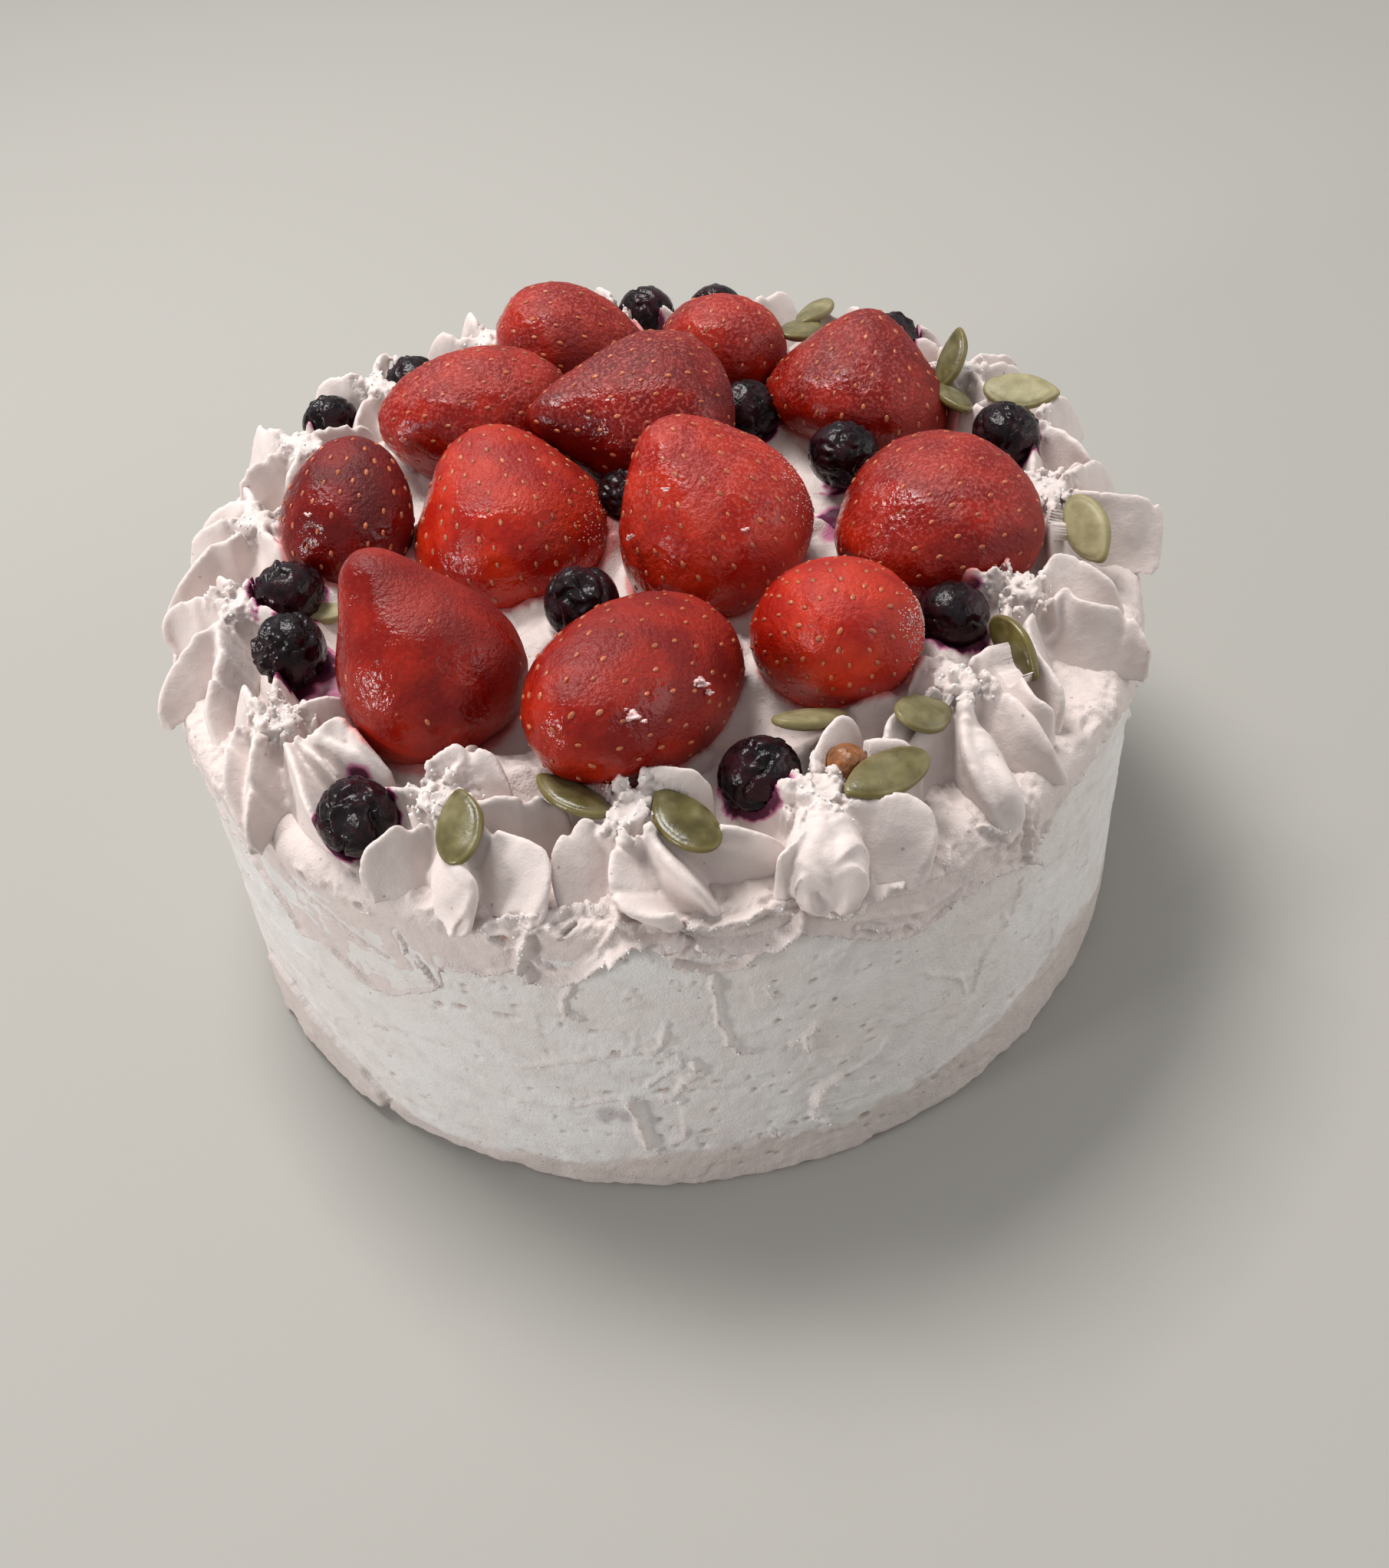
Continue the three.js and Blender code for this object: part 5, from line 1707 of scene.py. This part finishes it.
def grain_tree():
    """Small balls, scattered where the mask called loose is high."""
    inputs = [("Density", "Float", 1.2e7), ("Grain", "Float", 0.0004)]
    inputs += [("Seed", "Int", 5), ("Material", "Material", None)]
    tree, given, end = geometry_group("loose grains", inputs)
    loose = new_node(tree, "GeometryNodeInputNamedAttribute", {"Name": "loose"}, data_type="FLOAT")
    density = math_node(tree, "MULTIPLY", loose.outputs["Attribute"], given["Density"])
    inputs = {"Mesh": given["Geometry"], "Density": density, "Seed": given["Seed"]}
    scatter = new_node(tree, "GeometryNodeDistributePointsOnFaces", inputs)
    ball = new_node(tree, "GeometryNodeMeshIcoSphere", {"Subdivisions": 1, "Radius": given["Grain"]})
    place = new_node(tree, "GeometryNodeInstanceOnPoints", {
        "Points": scatter.outputs["Points"],
        "Instance": ball.outputs["Mesh"],
        "Rotation": random_vector(tree, (0, 0, 0), FULL_TURN, 3),
        "Scale": random_vector(tree, (0.35, 0.35, 0.3), (1.3, 1.1, 0.9), 4),
    })
    real = realized(tree, place.outputs["Instances"])
    fill(tree, end, {"Geometry": painted(tree, real, given["Material"])})
    return tree


def scattered(name, source, tree, values):
    """What the tree makes of the source's mesh, as a new object with a plain mesh."""
    thing = add_object(name, source.data.copy())
    apply_tree(thing, tree, values)
    return thing


def apply_tree(thing, tree, values):
    """Puts a node tree on an object, sets its inputs by their sockets' identifiers and applies it."""
    modifier = thing.modifiers.new(tree.name, "NODES")
    modifier.node_group = tree
    for item in tree.interface.items_tree:
        if item.in_out == "INPUT" and item.name in values:
            modifier[item.identifier] = values[item.name]
    baked(thing)


def joined(name, things):
    """Several objects' meshes as one object, in the material of the first."""
    mesh = merged(name, [thing.data for thing in things])
    mesh.materials.append(things[0].data.materials[0])
    for thing in things:
        bpy.data.objects.remove(thing)
    return add_object(name, mesh)


GRAINS = grain_tree()
parts = []
for i, spread in enumerate((cake_wall, cake_lip)):
    values = {"Seed": 60 + i, "Material": PIPED_CREAM, **EDGE_CRUMBS}
    parts.append(scattered("edge_crumbs_%d" % i, spread, GRAINS, values))
print("edge crumbs:", face_count(parts), "faces")
for i, swirl in enumerate(swirls):
    values = {"Seed": i, "Material": PIPED_CREAM, **SWIRL_CRUMBS}
    parts.append(scattered("crumbs_%02d" % i, swirl, GRAINS, values))
crumbs = joined("cream_crumbs", parts)
finish_piece(crumbs, "piped_cream")
print("crumbs:", len(crumbs.data.polygons), "faces")

# %% [markdown]
# A strawberry is an egg covered with small fruits, the achenes, each in its own dimple. They sit at even
# distances all over, which is just what Poisson scattering gives. The tree below scatters the points, dents
# the skin near each one with Geometry Proximity, sets an achene in every dent, turned along the berry, and
# joins both.

# %% Achenes and dimples by Geometry Nodes
ACHENE_FORM = (1.0, 0.6, 0.42)
ACHENE_SUNK = 0.00008


def dented(tree, given, points):
    """The skin with a dimple near each point."""
    near = new_node(tree, "GeometryNodeProximity", {0: points}, target_element="POINTS")
    inputs = {"Value": near.outputs["Distance"], "From Max": given["Dimple"], "To Min": -1, "To Max": 0}
    fall = new_node(tree, "ShaderNodeMapRange", inputs, interpolation_type="SMOOTHSTEP")
    push = math_node(tree, "MULTIPLY", fall.outputs["Result"], given["Depth"])
    inputs = {0: new_node(tree, "GeometryNodeInputNormal").outputs[0], "Scale": push}
    way = new_node(tree, "ShaderNodeVectorMath", inputs, operation="SCALE").outputs[0]
    inputs = {"Geometry": given["Geometry"], "Offset": way}
    return new_node(tree, "GeometryNodeSetPosition", inputs).outputs["Geometry"]


def achene_tree():
    """Evenly spread achenes, each in a dimple of the skin."""
    inputs = [("Spacing", "Float", 0.0034), ("Dimple", "Float", 0.0011), ("Depth", "Float", 0.0004)]
    inputs += [("Achene", "Float", 0.0006), ("Axis", "Vector", (1, 0, 0)), ("Seed", "Int", 1)]
    inputs += [("Skin", "Material", None), ("Seeds", "Material", None)]
    tree, given, end = geometry_group("strawberry achenes", inputs)
    inputs = {"Mesh": given["Geometry"], "Distance Min": given["Spacing"], "Seed": given["Seed"]}
    inputs["Density Max"] = 4.0e5
    scatter = new_node(tree, "GeometryNodeDistributePointsOnFaces", inputs, distribute_method="POISSON")
    ball = new_node(tree, "GeometryNodeMeshIcoSphere", {"Subdivisions": 2, "Radius": given["Achene"]})
    inputs = {"Geometry": ball.outputs["Mesh"], "Scale": ACHENE_FORM}
    flat = new_node(tree, "GeometryNodeTransform", inputs)
    inputs = {"Rotation": scatter.outputs["Rotation"], "Vector": given["Axis"]}
    lay = new_node(tree, "FunctionNodeAlignRotationToVector", inputs, axis="X", pivot_axis="Z")
    place = new_node(tree, "GeometryNodeInstanceOnPoints", {
        "Points": scatter.outputs["Points"],
        "Instance": flat.outputs["Geometry"],
        "Rotation": lay.outputs["Rotation"],
        "Scale": random_scale(tree, 0.75, 1.1, 8),
    })
    inputs = {"Instances": place.outputs["Instances"], "Translation": (0, 0, -ACHENE_SUNK)}
    sink = new_node(tree, "GeometryNodeTranslateInstances", inputs)
    achenes = painted(tree, realized(tree, sink.outputs["Instances"]), given["Seeds"])
    skin = painted(tree, dented(tree, given, scatter.outputs["Points"]), given["Skin"])
    both = new_node(tree, "GeometryNodeJoinGeometry")
    for piece in (achenes, skin):
        fill(tree, both, {0: piece})
    fill(tree, end, {"Geometry": both.outputs[0]})
    return tree


ACHENES = achene_tree()
print("tree", ACHENES.name, "has", len(ACHENES.nodes), "nodes")

# %% [markdown]
# Each strawberry gets its own character: how bright its red is, how much frost lies on it, how wet it is, how
# far apart its achenes are and how deep they sit. The egg is made from rings along its axis, lumpy, and more
# so where there is frost, with a small hollow where the hull was cut out and, on some, a pinched nose. Ice
# crystals sit on the right side of three of them, and a few larger flakes of ice are placed one by one.

# %% Strawberries
CHARACTERS = [
    # tone, veil, wet, achene spacing in millimetres, dimple depth, how pinched its nose is, ice
    (0.42, 0.30, 0.7, 3.2, 0.16, 0.0, 0.0),
    (0.46, 0.30, 0.7, 3.3, 0.16, 0.0, 0.0),
    (0.14, 0.30, 0.7, 3.3, 0.16, 0.05, 0.0),
    (0.46, 0.30, 0.7, 3.1, 0.16, 0.0, 0.0),
    (0.28, 0.30, 0.7, 3.1, 0.16, 0.0, 0.0),
    (0.08, 0.03, 0.9, 2.6, 0.22, 0.0, 0.0),
    (0.74, 0.05, 0.8, 2.6, 0.20, 0.07, 0.3),
    (0.70, 0.32, 0.7, 3.1, 0.16, 0.05, 0.2),
    (0.40, 0.26, 0.8, 3.7, 0.12, 0.0, 0.0),
    (0.33, 0.05, 1.0, 13.0, 0.05, 0.13, 0.0),
    (0.41, 0.06, 1.0, 3.2, 0.20, 0.0, 0.0),
    (0.86, 0.05, 0.35, 2.35, 0.18, 0.0, 1.0),
]
BERRY_SIDES = 144
BERRY_ROWS = 100
ACHENE_LONG = 0.58
DIMPLE_WIDE = 1.0
ICE_GRAINS = {"Density": 4.5e6, "Grain": 0.00017}


def egg_grid(berry, seed, nose, frost):
    """A lumpy egg with a hollow where the hull was cut out. Its nose may be pinched."""
    length, width, taper, depth = berry[5:9]
    phi, turn = ball_angles(BERRY_ROWS, BERRY_SIDES)
    full = np.sin(phi) * (1 + taper * np.cos(phi))
    radius = width / 2 * full / full.max() * (1 - nose * hump(phi - 2.3, 0.35))
    along = -length / 2 * np.cos(phi) + 0.10 * length * hump(phi, 0.22) + 0 * turn
    local = np.stack([along, radius * np.cos(turn), radius * np.sin(turn) * depth], -1)
    lumps = 1 + 0.05 * rough(local + seed * 50, 14.0, seed, 3)
    lumps += 0.012 * rough(local + seed * 50, 3.4, seed + 5, 2)
    lumps += (0.003 + 0.03 * frost) * rough(local + seed * 50, 1.7, seed + 9, 1)
    return placed(middle_of(berry), axes_of(berry[3], berry[4]), local * lumps[..., None])


def skin_masks(points, normals, character):
    """The berry's tone with painted shade on top and painted light below, its veil of frost, where it is wet
    and where ice sits.
    """
    tone_and_shade, frost, wet, ice = character[0], character[1], character[2], character[6]
    side, up = normals[:, 0], normals[:, 2]
    lift = 0.5 + 0.5 * up
    patch = rough(points, 9.0, 81, 3)
    damp = wet * ease(0.45 - side * 0.6 + 0.8 * patch - 0.2 * normals[:, 1], 0.1, 0.7)
    damp *= 1 - 0.85 * ease(up + 0.2 * patch, 0.70, 0.92)
    return {
        # Painted shade and light: the tone drops where the skin faces up and rises where it faces down.
        "tone_and_shade": np.clip(tone_and_shade * (1.06 - 0.40 * lift) + 0.08 * patch, 0, 1),
        "frost": frost * ease(lift + 0.35 * patch, 0.5, 1.0),
        "wet": damp,
        "loose": ice * ease(side + 0.25 * up + 0.3 * patch, 0.75, 1.0) * ease(lift, 0.3, 0.6),
    }


def make_strawberry(number):
    """One strawberry with its achenes, and with ice where its character has some."""
    berry = STRAWBERRIES[number]
    _, frost, _, spacing, dimple, nose, ice = CHARACTERS[number]
    name = "strawberry_%02d" % (number + 1)
    grid = egg_grid(berry, number + 1, nose, frost)
    thing, points, normals = closed_piece(name + "_fruit", grid, middle_of(berry))
    set_masks(thing.data, skin_masks(points, normals, CHARACTERS[number]))
    if ice > 0:
        values = {"Seed": number, "Material": ICE, **ICE_GRAINS}
        ICE_PARTS.append(scattered(name + "_ice", thing, GRAINS, values))
    values = {"Spacing": spacing * MM, "Depth": dimple * MM, "Dimple": DIMPLE_WIDE * MM}
    values.update({"Achene": ACHENE_LONG * MM, "Axis": axes_of(berry[3], berry[4])[0].tolist()})
    values.update({"Seed": number, "Skin": STRAWBERRY_SKIN, "Seeds": ACHENE})
    apply_tree(thing, ACHENES, values)
    finish_piece(thing, "strawberry", name)
    return thing


ICE_CHIPS = [
    # x, y, height over the cake's top, width of a chip of ice
    (15.0, -18.8, 19.2, 1.5),
    (4.1, -15.1, 24.8, 1.2),
    (-1.9, -15.9, 17.5, 1.3),
    (6.5, -49.9, 17.4, 2.1),
    (7.6, -50.6, 16.2, 1.4),
    (5.6, -50.4, 18.0, 1.3),
    (-2.6, -57.8, 19.6, 2.0),
    (-1.2, -58.3, 19.0, 0.9),
    (-3.6, -57.2, 20.4, 1.1),
    (-51.4, -1.0, 16.2, 1.5),
]


def ice_chip(number):
    """A flat angular flake of ice frozen to a berry."""
    x, y, over, wide = ICE_CHIPS[number]
    phi, turn = ball_angles(15, 24)
    ball = np.stack([np.sin(phi) * np.cos(turn), np.sin(phi) * np.sin(turn), np.cos(phi) + 0 * turn], -1)
    ball *= (0.8 + 1.1 * rough(ball + number * 5, 0.7, 87, 4))[..., None] * wide / 2
    mesh = shell("ice_chip", ball * np.array([1, 0.75, 0.5]) + np.array([x, y, CAKE_TOP + over]))
    mesh.materials.append(ICE)
    return add_object("ice_chip", mesh)


ICE_PARTS = [ice_chip(i) for i in range(len(ICE_CHIPS))]
strawberries = [make_strawberry(i) for i in range(len(STRAWBERRIES))]
ice_grains = joined("ice_grains", ICE_PARTS)
finish_piece(ice_grains, "strawberry")
print("ice grains:", len(ice_grains.data.polygons), "faces")
print("strawberries:", face_count(strawberries), "faces")

# %% [markdown]
# Thawed blueberries wrinkle. A ridge pattern, the fold line where smooth noise crosses zero, is pressed into
# a slightly flattened ball, deep and close on a berry that has thawed, thin and wide on a firm one. At one
# pole stands the calyx: a shallow crater with five low lobes round it.

# %% Blueberries and the raisin
BALL_SIDES = 88
BALL_ROWS = 58
# How deep each blueberry's wrinkles go, in millimetres: the two at the front have thawed the most
WRINKLES = [0.5, 0.5, 0.45, 0.45, 0.5, 0.6, 0.6, 0.7, 0.3, 0.75, 0.85, 0.5, 0.45, 0.5, 0.5]
RAISIN_WRINKLE, RAISIN_CALYX = 0.22, 0.2


def wrinkled_ball(thing, seed, wrinkle, calyx):
    """A grid of points in place, and how deep in the calyx each one is."""
    radius = thing[5]
    phi, turn = ball_angles(BALL_ROWS, BALL_SIDES)
    way = np.stack([np.cos(phi) + 0 * turn, np.sin(phi) * np.sin(turn), np.sin(phi) * np.cos(turn)], -1)
    smoothness = max(0.0, 0.75 - wrinkle)
    folds = rough(way * radius + seed * 40, 4.2 + 3 * smoothness, seed, 3)
    fold = 1 - np.abs(folds) * (3 + 4 * smoothness)
    size = radius * (1 + 0.05 * rough(way * radius + seed * 40, 5.0, seed + 3, 2))
    size = size - wrinkle * ease(fold, 0.35, 1.0) + 0.08 * rough(way * radius, 0.7, seed + 7, 2)
    crater = hump(phi, 0.24) + 0 * turn
    lobes = 0.5 + 0.5 * np.cos(5 * turn + seed)
    crown = hump(phi - 0.38, 0.09) * (0.35 + 0.65 * lobes)
    size = size - calyx * 0.9 * crater + calyx * 0.55 * crown
    local = way * size[..., None] * np.array([0.92, 1, 1])
    grid = placed(middle_of(thing), axes_of(thing[3], thing[4]), local)
    return grid, np.clip(crater + crown * 0.5, 0, 1) * min(1, calyx)


def make_blueberry(number):
    """One blueberry with its bloom and its calyx."""
    berry = BLUEBERRIES[number]
    name = "blueberry_%02d" % (number + 1)
    grid, calyx = wrinkled_ball(berry, number + 1, WRINKLES[number], 1.0)
    thing, points, normals = closed_piece(name + "_fruit", grid, middle_of(berry))
    bloom = ease(normals[:, 2] + 0.5 * rough(points, 4.0, 91, 3), 0.15, 0.95)
    set_masks(thing.data, {"bloom": bloom, "calyx": pole_mask(calyx)})
    thing.data.materials.append(BLUEBERRY_SKIN)
    finish_piece(thing, "blueberry", name)
    return thing


def make_raisin():
    grid, _ = wrinkled_ball(RAISIN, 40, RAISIN_WRINKLE, RAISIN_CALYX)
    thing = closed_piece("raisin_01_fruit", grid, middle_of(RAISIN))[0]
    thing.data.materials.append(RAISIN_SKIN)
    finish_piece(thing, "raisin", "raisin_01")


blueberries = [make_blueberry(i) for i in range(len(BLUEBERRIES))]
make_raisin()
print("blueberries:", face_count(blueberries), "faces")

# %% [markdown]
# A shelled pumpkin seed is a flat lens with one pointed end, a soft rim all round and slightly bowed faces.
# Some are pale and dry and others dark and wet, so each stores its own tone.

# %% Pumpkin seeds
SEED_TONES = [0.15, 0.16, 0.0, 0.34, 0.3, 0.13, 0.0, 0.8, 0.6, 0.1, 0.2, 0.3, 0.7, 0.12]
SEED_THICK = 2.6
SEED_SIDES = 72
SEED_ROWS = 33


def seed_grid(seed, number):
    """A lens with a pointed end and a rim, in place, and how near its rim each point is."""
    phi, turn = ball_angles(SEED_ROWS, SEED_SIDES)
    flat = np.sin(phi) ** 0.8
    x, y = flat * np.cos(turn), flat * np.sin(turn)
    pointed = 1 - 0.30 * np.clip(x, 0, 1) ** 2
    tip = 1 + 0.05 * np.clip(x, 0, 1) ** 8
    high = np.sign(np.cos(phi)) * np.abs(np.cos(phi)) ** 0.8 + 0 * turn
    local_x = x * seed[5] / 2 * tip
    local_y = y * seed[6] / 2 * pointed
    seam = 0.10 * hump(np.hypot(x, y) - 0.86, 0.05) * np.sign(np.cos(phi))
    dimple = 0.9 + 0.1 * noise(np.stack([local_x, local_y, 0 * local_x + number * 9], -1), 3.0, 4)
    z = high * SEED_THICK / 2 * dimple - seam + 0.35 * (x ** 2) - 0.12
    roll = math.radians(seed[7])
    across = -local_y * math.cos(roll) + z * math.sin(roll)
    out = z * math.cos(roll) + local_y * math.sin(roll)
    grid = placed(middle_of(seed), axes_of(seed[3], seed[4]), np.stack([local_x, across, out], -1))
    return grid, ease(np.hypot(x, y), 0.86, 1.0)


def make_seed(number):
    """One pumpkin seed with its streaks and its rim."""
    seed = PUMPKIN_SEEDS[number]
    name = "seed_%02d" % (number + 1)
    grid, rim = seed_grid(seed, number)
    thing, points, _ = closed_piece(name + "_kernel", grid, middle_of(seed))
    streak = rough(points * np.array([1, 1, 2]), 3.0, 95, 3)
    tone_and_shade = np.clip(SEED_TONES[number] + 0.25 * streak, 0, 1)
    set_masks(thing.data, {"tone_and_shade": tone_and_shade, "rim": pole_mask(rim) * 0.6})
    thing.data.materials.append(SEED_SKIN)
    finish_piece(thing, "pumpkin_seed", name)
    return thing


seeds = [make_seed(i) for i in range(len(PUMPKIN_SEEDS))]
print("seeds:", face_count(seeds), "faces")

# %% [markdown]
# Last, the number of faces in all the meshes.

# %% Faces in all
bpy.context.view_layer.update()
total = sum(len(o.data.loop_triangles) or len(o.data.polygons) for o in bpy.data.objects if o.type == "MESH")
print("faces in all", total)
